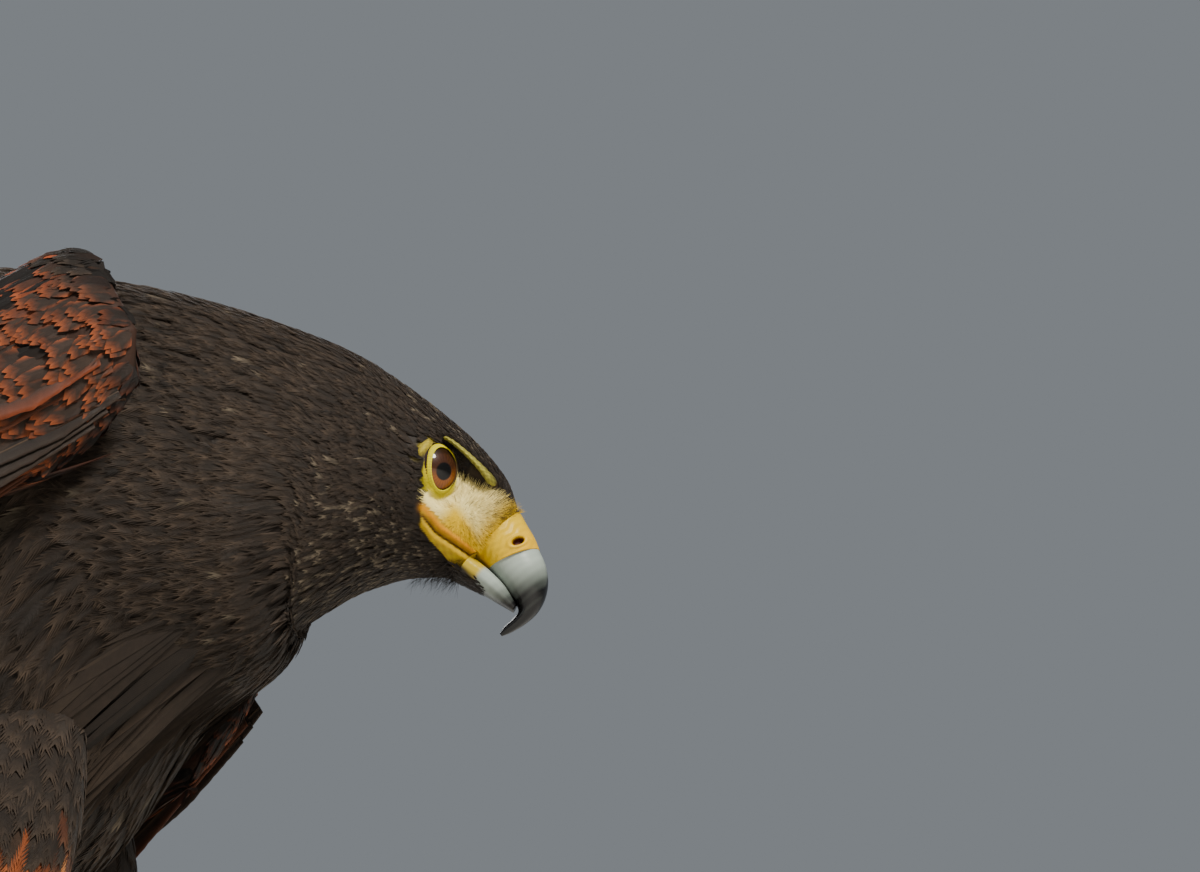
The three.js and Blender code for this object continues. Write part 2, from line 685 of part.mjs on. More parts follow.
function makeWing(spec, obstacles) {
  const sheet = wingSheet(spec);
  const flight = flightFeathers(spec);
  const vanes = [...flight, ...coverts(spec, flight)].map((f) => vane(f, sheet));
  return largest(union([wingArm(spec, sheet), ...vanes]).subtract(obstacles));
}

// Tail: p runs back from its root, q runs out to the side, h is up

function tailSheet(p, q, h) {
  const d = radians(TAIL_DROP);
  const back = new THREE.Vector3(-Math.cos(d), 0, -Math.sin(d));
  const up = new THREE.Vector3(-Math.sin(d), 0, Math.cos(d));
  return vector(TAIL_ROOT).addScaledVector(back, p).addScaledVector(up, h).add(new THREE.Vector3(0, q, 0));
}

function tailFeathers() {
  const pairs = TAIL_FEATHERS / 2;
  const made = [];
  for (const side of [-1, 1]) {
    range(pairs).forEach((i) => {
      const t = i / (pairs - 1);
      // Each pair lies under the next one in, and each left feather under the right one of its pair
      const layer = 2 * i + (side > 0 ? 1 : 0);
      made.push({
        p: 12,
        q: side * mix(3, 11, t),
        h: 4 - layer * LAYER_PITCH,
        angle: side * mix(1.2, 10.5, t),
        length: TAIL_LENGTH - 12 - 10 * t,
        width: mix(31, 27, t),
        tilt: 0,
      });
    });
  }
  return made;
}

function tailCoverts() {
  const made = [];
  for (const [level, push, reach, n] of [[4.2, 1, 78, 5], [-5.9, -1, 96, 5]]) {
    range(n).forEach((i) => {
      const t = i / (n - 1) - 0.5;
      const layer = 2 * (n / 2 - Math.abs(i - (n - 1) / 2)) - (t > 0 ? 1 : 0);
      made.push({
        p: 4,
        q: 20 * t,
        h: level + push * layer * LAYER_PITCH,
        angle: 20 * t,
        length: reach * (1 - 0.35 * Math.abs(t)),
        width: 21,
        tilt: 0,
        shape: SHORT_VANE,
      });
    });
  }
  return made;
}

function makeTail() {
  const end = bodyRing(BODY_END, 16);
  const middle = new THREE.Vector3();
  end.forEach((p) => middle.addScaledVector(p, 1 / end.length));
  const upwards = bodyCurves.top.getPoint(1).sub(bodyCurves.bottom.getPoint(1));
  const back = upwards.cross(new THREE.Vector3(0, -1, 0)).normalize();
  const start = end.map((p) => p.clone().addScaledVector(back, -GAP));
  const taper = (p, wide, high) => {
    const rise = tailSheet(0, 0, high).sub(tailSheet(0, 0, 0));
    return sectionRing(tailSheet(p, 0, -1.5), new THREE.Vector3(0, wide, 0), rise, 16);
  };
  const core = loft([start, taper(20, 18, 15), taper(42, 18, 9), taper(66, 16, 3.4)]);
  const vanes = [...tailFeathers(), ...tailCoverts()].map((f) => vane(f, tailSheet));
  const torsoSide = bodyLength(TORSO_START + 3, BODY_END, 10, BODY_SIDES, GAP);
  return largest(union([core, ...vanes]).subtract(torsoSide));
}

// Assembly

const FINISHES = {
  plumage: { color: 0x3b2c22, roughness: 0.8 },
  shoulder: { color: 0x6b3420, roughness: 0.8 },
  thigh: { color: 0x8a4526, roughness: 0.85 },
  tail: { color: 0x1f1a17, roughness: 0.7 },
  cere: { color: 0xe8b41c, roughness: 0.5 },
  horn: { color: 0x6f7c84, roughness: 0.3 },
  eye: { color: 0x3a1a0c, roughness: 0.08 },
  scales: { color: 0xd9a92a, roughness: 0.55 },
  claw: { color: 0x17161a, roughness: 0.3 },
};

const model = new THREE.Group();

function add(name, solid, finish) {
  const material = new THREE.MeshStandardMaterial({ ...FINISHES[finish], metalness: 0 });
  const mesh = new THREE.Mesh(geometryOf(solid), material);
  mesh.name = name;
  model.add(mesh);
}

add("head", makeHead(), "plumage");
add("cere", makeCere(), "cere");
add("bill_upper", headLoft(UPPER_BILL_SECTIONS, 11), "horn");
add("bill_lower", headLoft(LOWER_BILL_SECTIONS, 5, 2.4), "horn");
add("neck", bodyLength(NECK_START + SEAM, TORSO_START - SEAM, 6, BODY_SIDES), "plumage");
add("torso", bodyLength(TORSO_START + SEAM, BODY_END, 15, BODY_SIDES), "plumage");
add("tail", makeTail(), "tail");

const bodyGrown = bodyLength(NECK_START - 2, BODY_END, 24, BODY_SIDES, GAP);
const underFloor = boxBetween([-400, -300, -60], [300, 300, 0]);

for (const [name, spec] of Object.entries(WINGS)) {
  const { side } = spec;
  add(`eye_${name}`, makeEye(side), "eye");
  add(`wing_${name}`, makeWing(spec, union([bodyGrown, thigh(side, GAP)])), "shoulder");
  const leg = thigh(side).subtract(bodyGrown);
  add(`thigh_${name}`, largest(leg), "thigh");
  const aroundFoot = union([thigh(side, GAP), palm(side, GAP)]);
  add(`shank_${name}`, largest(shank(side).subtract(aroundFoot)), "scales");
  add(`foot_${name}`, largest(palm(side).subtract(underFloor)), "scales");
  let taken = union([palm(side, GAP), underFloor]);
  for (const [toeName, toeSpec] of Object.entries(TOES)) {
    const around = union([toe(side, toeSpec, GAP), underFloor]);
    add(`toe_${toeName}_${name}`, largest(toe(side, toeSpec).subtract(taken)), "scales");
    add(`claw_${toeName}_${name}`, largest(claw(side, toeSpec).subtract(around)), "claw");
    taken = taken.add(toe(side, toeSpec, GAP));
  }
}

// The origin goes to the middle of the footprint, on the floor
const bounds = new THREE.Box3().setFromObject(model);
const middle = bounds.getCenter(new THREE.Vector3());
model.position.set(-middle.x, -middle.y, 0);

export default model;
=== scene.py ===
# %% [markdown]
# A Harris's hawk as a museum shows one: life size, standing on both feet, leaning
# forward with its head low. The solids of the frame carry the sizes. This file
# lays the finish over them, piece by piece: skin, feathers, bill, eyes and scales.
# All sizes are millimetres in the bird's own frame until the moment a mesh is made.

# %% Load the frame
import json
import math

import bpy
import numpy as np
from mathutils import Matrix, Vector

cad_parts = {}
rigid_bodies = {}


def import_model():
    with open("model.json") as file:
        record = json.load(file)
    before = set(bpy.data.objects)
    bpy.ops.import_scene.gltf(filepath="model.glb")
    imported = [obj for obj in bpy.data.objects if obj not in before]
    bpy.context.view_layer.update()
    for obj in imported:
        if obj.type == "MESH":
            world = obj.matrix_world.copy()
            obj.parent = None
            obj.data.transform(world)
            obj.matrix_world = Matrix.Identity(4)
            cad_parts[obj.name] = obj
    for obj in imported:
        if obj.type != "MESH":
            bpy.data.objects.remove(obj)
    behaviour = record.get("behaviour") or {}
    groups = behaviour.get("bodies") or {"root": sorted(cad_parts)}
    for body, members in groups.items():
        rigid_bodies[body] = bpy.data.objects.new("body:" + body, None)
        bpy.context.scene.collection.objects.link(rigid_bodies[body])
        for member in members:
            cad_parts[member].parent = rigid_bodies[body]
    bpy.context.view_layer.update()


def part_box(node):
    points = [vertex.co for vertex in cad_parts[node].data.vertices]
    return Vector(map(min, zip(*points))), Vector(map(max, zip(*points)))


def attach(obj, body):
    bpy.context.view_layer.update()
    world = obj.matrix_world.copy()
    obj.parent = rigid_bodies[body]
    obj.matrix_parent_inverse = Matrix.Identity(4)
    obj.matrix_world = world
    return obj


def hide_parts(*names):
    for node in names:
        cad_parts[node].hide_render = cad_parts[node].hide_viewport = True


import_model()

# %% [markdown]
# The right foot's ball stands on a known spot of the bird, and its box tells where
# the frame has put it. The difference is the step from the bird's frame to the row's.

# %% From the bird's millimetres to the frame's metres
RIGHT_FOOT = (-15.0, -41.0)
low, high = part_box("foot_right")
SHIFT = np.array([500 * (low[k] + high[k]) - RIGHT_FOOT[k] for k in (0, 1)] + [0.0])


def placed(points):
    return (np.asarray(points, float) + SHIFT) * 0.001


print("step to the row frame, mm:", SHIFT.round(2))

# %% [markdown]
# The camera comes first, because every later choice is judged through it. It stands
# 24 mm above the floor and looks up at the head from the bird's right. Its place was
# worked out from the bill's tip, which lies 800 mm away.

# %% Camera
AZIMUTH, ELEVATION = math.radians(17), math.radians(18)
TIP_DISTANCE = 800.0
MM_A_PIXEL = 0.284  # at the bill's tip
PICTURE_WIDTH = 1200
SENSOR = 36.0
EYEPOINT = (373.90, -714.25, 23.54)


def make_camera():
    camera = bpy.data.objects.new("camera", bpy.data.cameras.new("camera"))
    bpy.context.scene.collection.objects.link(camera)
    right = Vector((math.cos(AZIMUTH), math.sin(AZIMUTH), 0))
    level = Vector((-math.sin(AZIMUTH), math.cos(AZIMUTH), 0))
    ahead = level * math.cos(ELEVATION) + Vector((0, 0, math.sin(ELEVATION)))
    up = right.cross(ahead)
    turn = Matrix((right, up, -ahead)).transposed()
    camera.matrix_world = Matrix.Translation(placed(EYEPOINT)) @ turn.to_4x4()
    camera.data.sensor_width = SENSOR
    camera.data.lens = SENSOR * TIP_DISTANCE / (PICTURE_WIDTH * MM_A_PIXEL)
    camera.data.clip_end = 50
    bpy.context.scene.camera = camera
    return camera


camera = make_camera()
print("lens", round(camera.data.lens, 1), "mm")

# %% [markdown]
# A pale floor and a soft studio: one broad lamp high on the right, where the sun
# stood, a weak one opposite, one behind for the rim, and a pale world between them.

# %% Floor, backdrop light and lamps
FLOOR_REACH = 6.0  # metres
WORLD_STRENGTH = 0.3
# name, place and target in the bird's mm, size in metres, watts, tint
LAMPS = [
    ("key", (950, -900, 1250), (100, 17, 260), 0.45, 62, (1.0, 0.955, 0.88)),
    ("fill", (-900, -1100, 700), (-60, 0, 200), 1.2, 3, (1, 1, 1)),
    ("rim", (-500, 900, 1100), (-60, 0, 250), 0.9, 9, (1, 1, 1)),
]


def colour(r, g, b):
    """A colour as a screen shows it, 0 to 255, made linear for the shaders."""
    c = np.array([r, g, b]) / 255
    return np.where(c <= 0.04045, c / 12.92, ((c + 0.055) / 1.055) ** 2.4)


def lamp(name, place, target, size, power, tint):
    light = bpy.data.lights.new(name, "AREA")
    light.shape, light.size, light.energy, light.color = "DISK", size, power, tint
    obj = bpy.data.objects.new(name, light)
    bpy.context.scene.collection.objects.link(obj)
    place, target = Vector(placed(place)), Vector(placed(target))
    obj.location = place
    obj.rotation_euler = (target - place).to_track_quat("-Z", "Y").to_euler()


def make_studio():
    mesh = bpy.data.meshes.new("floor")
    r = FLOOR_REACH
    mesh.from_pydata([(-r, -r, 0), (r, -r, 0), (r, r, 0), (-r, r, 0)], [], [(0, 1, 2, 3)])
    floor = bpy.data.objects.new("floor", mesh)
    bpy.context.scene.collection.objects.link(floor)
    paint = bpy.data.materials.new("floor")
    paint.use_nodes = True
    shader = paint.node_tree.nodes["Principled BSDF"]
    shader.inputs["Base Color"].default_value = (*colour(216, 214, 208), 1)
    shader.inputs["Roughness"].default_value = 0.85
    mesh.materials.append(paint)
    world = bpy.data.worlds.new("studio")
    world.use_nodes = True
    sky = world.node_tree.nodes["Background"]
    sky.inputs["Color"].default_value = (*colour(214, 222, 230), 1)
    sky.inputs["Strength"].default_value = WORLD_STRENGTH
    bpy.context.scene.world = world
    for row in LAMPS:
        lamp(*row)


make_studio()
print("lamps:", [row[0] for row in LAMPS])

# %% [markdown]
# Numbers that describe curves. A row is a cross-section of the bird, and a smooth
# curve runs through each column of the rows, the same one that the solids follow.
# Sizes that only need corners, such as a feather's width along its length, are read
# from short lists of pairs in straight lines.


# %% Curves through rows and pairs
def spline(rows, t):
    """The smooth curve through rows at station t, counted from the first row."""
    rows = np.asarray(rows, float)
    if rows.ndim == 1:
        rows = rows[:, None]
    count = len(rows)
    rows = np.vstack([2 * rows[0] - rows[1], rows, 2 * rows[-1] - rows[-2]])
    t = np.clip(np.asarray(t, float), 0, count - 1)
    i = np.minimum(t.astype(int), count - 2)
    f = (t - i)[..., None]
    a, b, c, d = (rows[i + k] for k in range(4))
    return b + 0.5 * f * (c - a + f * (2 * a - 5 * b + 4 * c - d + f * (3 * (b - c) + d - a)))


def unit(v):
    return v / np.maximum(np.linalg.norm(v, axis=-1, keepdims=True), 1e-9)


def ease(x, low, high):
    x = np.clip((np.asarray(x, float) - low) / (high - low), 0, 1)
    return x * x * (3 - 2 * x)


def mix(a, b, t):
    return a + (b - a) * t


def through(points, x):
    """Straight lines through pairs."""
    return np.interp(x, [p[0] for p in points], [p[1] for p in points])


def run(slopes, stride):
    """How far a path has come at each of its points, from its slope there."""
    return np.concatenate([[0], np.cumsum((slopes[1:] + slopes[:-1]) / 2)]) * stride


def rings(stations, around):
    """Stations and angles of a grid: a closed ring of so many points at each station."""
    s = np.asarray(stations, float)[:, None] + np.zeros((1, around))
    return s, 2 * np.pi * np.arange(around) / around + 0 * s


print("halfway through three rows:", spline([0, 2, 1], 1.0).round(2))

# %% [markdown]
# The head has a frame of its own, turned to the bird's left and bowed. Its x runs
# forward along the bill, y to the left and z up, so the face can be drawn level.

# %% The head's frame
HEAD_PLACE = np.array([103.8, 17.05, 261.2])
HEAD_TURN_DEGREES = 17
HEAD_TURN, HEAD_BOW = math.radians(HEAD_TURN_DEGREES), math.radians(37.4)
HEAD_LEFT = np.array([-math.sin(HEAD_TURN), math.cos(HEAD_TURN), 0])
HEAD_LEVEL = np.array([math.cos(HEAD_TURN), math.sin(HEAD_TURN), 0])
HEAD_FORWARD = HEAD_LEVEL * math.cos(HEAD_BOW) - np.array([0, 0, math.sin(HEAD_BOW)])
HEAD_AXES = np.array([HEAD_FORWARD, HEAD_LEFT, np.cross(HEAD_FORWARD, HEAD_LEFT)])


def from_head(points):
    return HEAD_PLACE + np.asarray(points, float) @ HEAD_AXES


def to_head(points):
    return (np.asarray(points, float) - HEAD_PLACE) @ HEAD_AXES.T


print("the head points along", HEAD_FORWARD.round(2))

# %% [markdown]
# Rows of the head and the body, from the bill's root to the root of the tail. Each
# holds the top and the bottom of a section as (x, z) and its half width. Head rows
# are in the head's frame. Body rows are in the bird's, with the neck's step aside.

# %% Rows of head and body
HEAD_ROWS = [
    (22.2, 6.2, 19.5, -20.0, 9.0),
    (15.0, 11.3, 16.0, -21.8, 12.2),
    (8.0, 13.8, 11.5, -25.0, 15.8),
    (0.0, 15.4, 6.5, -29.5, 20.0),
    (-9.0, 16.2, 2.0, -35.5, 24.0),
    (-20.0, 16.6, -1.5, -41.5, 26.5),
    (-32.0, 16.4, -4.5, -49.5, 28.5),
    (-44.0, 15.4, -7.5, -59.0, 31.0),
]
BODY_ROWS = [
    (63, 308, 64, 217, 34, 6),
    (41, 317, 60, 209, 39, 3),
    (16, 325, 52, 203, 45, 1),
    (-11, 331, 42, 198, 50, 0),
    (-37, 335, 32, 191, 54, 0),
    (-64, 321, 20, 175, 55, 0),
    (-86, 292, 6, 156, 53, 0),
    (-101, 255, -15, 139, 46, 0),
    (-112, 222, -43, 128, 36, 0),
    (-121, 192, -73, 125, 26, 0),
    (-128, 167, -98, 126, 18, 0),
]
NECK, TORSO, BODY_END = 7, 10, 18  # stations where neck, torso and body's end lie
NECK_TWIST = 4.25  # degrees that the neck turns back at each row
TOPS = [from_head([r[0], 0, r[1]]) for r in HEAD_ROWS] + [[r[0], r[5], r[1]] for r in BODY_ROWS]
BOTTOMS = [from_head([r[2], 0, r[3]]) for r in HEAD_ROWS] + [[r[2], r[5], r[3]] for r in BODY_ROWS]
HALVES = [r[4] for r in HEAD_ROWS + BODY_ROWS]
TURNS = [HEAD_TURN_DEGREES] * len(HEAD_ROWS)
TURNS += [max(0, HEAD_TURN_DEGREES - NECK_TWIST * (i + 1)) for i in range(len(BODY_ROWS))]
ROUNDNESS = 2.25  # 2 is an ellipse, more is squarer


def rounded(angle, power):
    """Across and up on the rim of a squarish ellipse."""
    c, s = np.cos(angle), np.sin(angle)
    return np.sign(c) * np.abs(c) ** (2 / power), np.sign(s) * np.abs(s) ** (2 / power)


def body_point(s, angle):
    """The body's outline at station s, at an angle from the bird's left over its top."""
    top, bottom = spline(TOPS, s), spline(BOTTOMS, s)
    half = spline(HALVES, s)[..., 0]
    turn = np.radians(spline(TURNS, s)[..., 0])
    across = np.stack([-np.sin(turn), np.cos(turn), 0 * turn], -1)
    c, up = rounded(angle, ROUNDNESS)
    pear = -0.1 * ease(s, NECK, TORSO + 2)
    wide = half * c * (1 + pear * up)
    return (top + bottom) / 2 + across * wide[..., None] + (top - bottom) / 2 * up[..., None]


print("rows:", len(TOPS))

# %% [markdown]
# A form is a closed shape held as a fine grid, with its outward direction at every
# point. Skin and feathers both read it: the skin lies a little inside, and each
# feather is bent along it, so the coat keeps the outline that the solids give.


# %% A form that skin and feathers follow
class Form:
    """A grid of points over stations and angles, with their directions along, round and out."""

    def __init__(self, point, first, last, rows, around):
        self.first, self.last, self.around = first, last, around
        self.step = (last - first) / (rows - 1)
        self.s, self.angle = rings(np.linspace(first, last, rows), around)
        self.grid = point(self.s, self.angle)
        self.measure()

    def measure(self):
        self.along = np.gradient(self.grid, axis=0) / self.step
        wide = 2 * np.pi / self.around
        self.round = (np.roll(self.grid, -1, 1) - np.roll(self.grid, 1, 1)) / (2 * wide)
        self.normal = unit(np.cross(self.along, self.round))
        middle = self.grid.mean(1, keepdims=True)
        if ((self.grid - middle) * self.normal).sum() < 0:
            self.normal = -self.normal

    def swell(self, height):
        """Push the form out, or in where the height is negative."""
        self.grid = self.grid + self.normal * height[..., None]
        self.measure()

    def at(self, s, angle, *names):
        """The named grids at any station and angle, and past the last row in a straight line."""
        i = (np.asarray(s, float) - self.first) / self.step
        j = (np.asarray(angle, float) / (2 * np.pi) * self.around) % self.around
        over = np.maximum(0, i - (len(self.grid) - 1)) + np.minimum(0, i)
        i = np.clip(i, 0, len(self.grid) - 1.001)
        i0, j0 = i.astype(int), j.astype(int) % self.around
        fi, fj = (i - i0)[..., None], (j - np.floor(j))[..., None]
        j1 = (j0 + 1) % self.around
        found = []
        for name in names:
            g = getattr(self, name)
            low = g[i0, j0] * (1 - fj) + g[i0, j1] * fj
            high = g[i0 + 1, j0] * (1 - fj) + g[i0 + 1, j1] * fj
            value = low * (1 - fi) + high * fi
            if name == "grid":
                edge = np.where(over[..., None] < 0, g[1, j0] - g[0, j0], g[-1, j0] - g[-2, j0])
                value = value + edge * over[..., None]
            found.append(value)
        return found if len(found) > 1 else found[0]


ROWS_A_STATION = 24
body = Form(body_point, 0, BODY_END, BODY_END * ROWS_A_STATION + 1, 256)
print("body form", body.grid.shape)

# %% [markdown]
# An eye is a ball that sits back in the head and looks half forward. Its lids stand
# round an axis of their own, raised because the head is bowed, and the crest of the
# lids is an upright oval. Everything round the eye is measured from this oval.

# %% Where the eyes sit
EYE_PLACE = np.array([-3.75, 14.55, -2.45])
EYE_RADIUS = 8.7
LID_HIGH, LID_WIDE = 6.4, 4.75  # half height and half width of the lids' crest
LID_AXIS = np.array([0.62, 0.74, 0.26])
LID_TOP = np.array([-0.55, 0.30, 0.78])  # the long way of the opening
GAZE = np.array([0.64, 0.75, 0.14])  # the ball itself looks a little lower
BED_RADIUS, BED_DROP, BED_FLOOR = 11.0, 2.72, 4.9  # the sphere that the lids lie on


def eye_axes(side, gaze=LID_AXIS):
    """Out of the eye, up its opening, and across it towards the bill."""
    axis = unit(gaze * (1, side, 1))
    up = LID_TOP * (1, side, 1)
    up = unit(up - (up @ axis) * axis)
    across = np.cross(up, axis)
    return axis, up, across * np.sign(across[0])


def eye_place(side):
    return EYE_PLACE * (1, side, 1)


def lid_level(away):
    """How far out the lids' bed lies, at a distance from the axis: close over the ball."""
    sphere = np.sqrt(np.maximum(BED_RADIUS**2 - away**2, 0))
    return np.maximum(sphere - BED_DROP, BED_FLOOR)


def oval(off, up, across):
    """How far round the eye a place lies: 1 on the crest of its lids."""
    return np.hypot((off @ up) / LID_HIGH, (off @ across) / LID_WIDE)


print("lids' bed beside the crest:", lid_level(LID_WIDE).round(2), "mm out from the ball's middle")

# %% [markdown]
# The face is where the form needs modelling: a bony brow that shades the eye, a
# hollow between eye and bill, lips, the slit of the mouth and a seat for each eye.
# Each is a smooth push in or out of the form, along lines drawn in the side view.


# %% Lines of the brow and the mouth
def near_line(points, x, z, width):
    """1 on a line through points in the head's side view, fading to 0 at width."""
    best = np.full(np.shape(x), 1e9)
    for (x0, z0), (x1, z1) in zip(points[:-1], points[1:]):
        dx, dz = x1 - x0, z1 - z0
        t = np.clip(((x - x0) * dx + (z - z0) * dz) / (dx * dx + dz * dz), 0, 1)
        best = np.minimum(best, np.hypot(x - x0 - t * dx, z - z0 - t * dz))
    return np.exp(-((best / width) ** 2))


BROW_LINE = [(-8.5, 7.8), (-3.4, 8.6), (2.0, 9.2), (8.0, 9.4), (13.0, 9.0)]
MOUTH_LINE = [(4.4, -14.8), (9.4, -15.4), (14.6, -14.4), (20.5, -13.4), (26.0, -13.2)]
UPPER_LIP = [(3.4, -13.0), (6.5, -13.3), (9.6, -13.8), (14.4, -12.9), (20.5, -12.0), (26.0, -12.0)]
LOWER_LIP = [(5.8, -16.5), (9.8, -17.0), (14.8, -15.9), (20.0, -15.0), (25.0, -14.8)]
print("the mouth runs from", MOUTH_LINE[0], "to", MOUTH_LINE[-1])

# %% [markdown]
# The pushes come in a sculptor's order: bones and hollow first, then lips and mouth,
# and the seats of the eyes last, because the lids are laid on them and have to find
# the skin at a known height.


# %% Pushing the face into shape
def side_view(points):
    """Places in the head's frame, with both cheeks laid on one: x, y without its sign, z."""
    head = to_head(points)
    return head[..., 0], np.abs(head[..., 1]), head[..., 2]


def seat_eye(side):
    """The skin dips behind the lids, meets them at their crest, and covers the ball round them."""
    axis, up, across = eye_axes(side)
    off = to_head(body.grid) - eye_place(side)
    out, ring = off @ axis, oval(off, up, across)
    bed = lid_level(np.hypot(off @ up, off @ across)) + 0.05
    seat = mix(2.0, bed, ease(ring, 0.74, 0.98))
    weight = ease(ring, 1.9, 1.25) * ease(out, -6, -1)
    body.grid = body.grid + (weight * (seat - out))[..., None] * (axis @ HEAD_AXES)
    off = to_head(body.grid) - eye_place(side)
    away = np.linalg.norm(off, axis=-1)
    cover = mix(EYE_RADIUS + 0.35, EYE_RADIUS + 1.3, ease(ring, 1.0, 1.35))
    short = np.maximum(cover - away, 0) * ease(off @ axis, 0, 1) * ease(ring, 0.96, 1.0)
    body.grid = body.grid + (unit(off) * short[..., None]) @ HEAD_AXES


def shape_face():
    x, y, z = side_view(body.grid)
    facing = ease(body.s, 5.5, 3.5) * ease(y, 5, 9)
    brow = 1.6 * near_line(BROW_LINE, x, z, 2.6)
    hollow = -3.2 * np.exp(-(((x - 8.5) / 5.4) ** 2) - ((z - 4.2) / 3.2) ** 2)
    cheek = 0.8 * np.exp(-(((x + 6) / 9.0) ** 2) - ((z + 14) / 8.0) ** 2)
    body.swell(facing * (brow + hollow + cheek))
    lips = 0.62 * near_line(UPPER_LIP, x, z, 0.75) + 0.45 * near_line(LOWER_LIP, x, z, 0.8)
    slit = -1.1 * near_line(MOUTH_LINE, x, z, 0.42)
    wrinkles = 0.10 * np.sin(2.9 * x + 1.9 * z) * np.exp(-(((z + 14.5) / 2.6) ** 2)) * ease(x, 2, 5)
    body.swell(ease(body.s, 3.2, 2.4) * ease(y, 2, 5) * (lips + slit + wrinkles))
    for side in (-1, 1):
        seat_eye(side)
    body.measure()


shape_face()
print("head form shaped")

# %% [markdown]
# A thigh is a form of its own, from the same rows as the solids: the middle of each
# section, then its reach fore and aft and its reach sideways. The left leg stands a
# stride further back.

# %% Thigh forms
NAMES = {-1: "right", 1: "left"}
STRIDE = 18
LEFT_THIGH_DEPTH = 0.87
THIGH_ROWS = [
    (-4, 14, 214, 13, 9),
    (-4, 31, 186, 22, 16),
    (-6, 40, 156, 27, 21),
    (-12, 42.5, 132, 24, 19),
    (-21, 42.5, 112, 18, 15),
    (-29, 42, 97, 12, 10.5),
    (-34.5, 41.5, 86, 8.2, 7.6),
]


def thigh_form(side):
    depth = LEFT_THIGH_DEPTH if side > 0 else 1
    rows = np.array(THIGH_ROWS, float)
    places = rows[:, :3] * (1, side, 1) - (STRIDE if side > 0 else 0, 0, 0)
    sizes = rows[:, 3:] * (depth, 1)

    def point(s, angle):
        ahead = unit(spline(places, s + 0.02) - spline(places, s - 0.02))
        forward = unit(np.cross([0, 1.0, 0], ahead))
        size = spline(sizes, s)
        c, up = np.cos(angle), np.sin(angle)
        across = np.array([0, side, 0.0])
        sideways, onward = (size[..., 1] * c)[..., None], (size[..., 0] * up)[..., None]
        return spline(places, s) + across * sideways + forward * onward

    return Form(point, 0, len(rows) - 1.02, 96, 96)


thighs = {side: thigh_form(side) for side in (-1, 1)}
print("thigh forms", thighs[-1].grid.shape)

# %% [markdown]
# A folded wing is a sheet that rises from its leading edge and rolls over the back.
# The sheet maps p (back from the wrist), q (in from the leading edge) and h (out)
# to space, so that long feathers can be laid out flat and then bent together.

# %% Wing sheets
WINGS = {
    -1: dict(wrist=(53, -60, 273), splay=16, drop=29, lean=14, flat=22),
    1: dict(wrist=(39, 60, 214.5), splay=18, drop=32, lean=6, flat=60),
}
WINGS[-1].update(elbow=(78, 48), reach=80, shoulder=4)
WINGS[1].update(elbow=(74, 66), reach=108, shoulder=14)
WING_RADIUS = 420  # the gentle curve of the lower part
ROLL = [(30, 36), (150, 110)]  # radius of the roll over the back, by p
BOW_START, BOW_SOFTNESS = 50, 1600  # the feathers' own bow towards the tail


def wing_sheet(side):
    w = WINGS[side]
    s, d, start = math.radians(w["splay"]), math.radians(w["drop"]), math.radians(w["lean"])
    back = np.array([-math.cos(d) * math.cos(s), side * math.cos(d) * math.sin(s), -math.sin(d)])
    outward = np.array([math.sin(s), side * math.cos(s), 0])
    chord = unit(np.array([0, 0, 1.0]) - back * back[2])
    bend = start + w["flat"] / WING_RADIUS

    def sheet(p, q, h):
        above = np.maximum(0, q - w["flat"])
        roll = through(ROLL, p)
        low = start + (q - above) / WING_RADIUS
        lean, rolled = low + above / roll, bend + above / roll
        rise = WING_RADIUS * (np.sin(low) - math.sin(start)) + roll * (np.sin(rolled) - math.sin(bend))
        tuck = WING_RADIUS * (np.cos(low) - math.cos(start)) + roll * (np.cos(rolled) - math.cos(bend))
        bow = np.maximum(0, p - BOW_START) ** 2 / BOW_SOFTNESS
        return (
            np.array(w["wrist"], float)
            + back * np.asarray(p, float)[..., None]
            + chord * (rise + h * np.sin(lean))[..., None]
            + outward * (tuck - bow + h * np.cos(lean))[..., None]
        )

    sheet.back = back
    return sheet


sheets = {side: wing_sheet(side) for side in (-1, 1)}
print("wings point back along", sheets[-1].back.round(2), sheets[1].back.round(2))

# %% [markdown]
# The arm is the fleshy front of the wing, a flat lens along the sheet from the
# leading edge in to the shoulder. It is a form too, so that small coverts follow it.


# %% Arm forms
def arm_level(side, q):
    """How far out of the wing's sheet the arm's middle lies."""
    w = WINGS[side]
    return through([(-3, -7), (6, -4), (16, 2.5), (w["elbow"][1], 10), (w["reach"], 5)], q)


def arm_form(side, sheet):
    w = WINGS[side]
    elbow, reach = w["elbow"], w["reach"]
    front = [(-3, 34), (0, 20), (7, 7), (18, 0), (45, 0), (reach, w["shoulder"])]
    rear = [(-3, 58), (0, 80), (12, 90), (30, 86), (elbow[1], elbow[0] + 14), (reach, 74)]
    thick = [(-3, 1.6), (0, 4.5), (10, 8), (40, 8), (elbow[1], 8), (reach, 4.5)]

    def point(q, angle):
        share = (1 - np.cos(angle)) / 2
        bulge = np.minimum(1, share / 0.15) ** 0.5 * (1 - share) ** 0.6
        half = through(thick, q) * bulge + np.minimum(1, 12 * share * (1 - share))
        p = mix(through(front, q), through(rear, q), share)
        return sheet(p, q, arm_level(side, q) + np.sign(np.sin(angle)) * half)

    return Form(point, -3, reach, 120, 128)


arms = {side: arm_form(side, sheets[side]) for side in (-1, 1)}
print("arm forms", arms[-1].grid.shape)

# %% [markdown]
# Materials. Feathers, skin and horn get their markings from a colour that is laid
# on each point of the mesh, and the shader adds what is too fine for the mesh:
# barbs, pores, growth lines. The barbs follow the piece's own map "Lay", whose
# first direction runs across a feather and whose second runs along it.


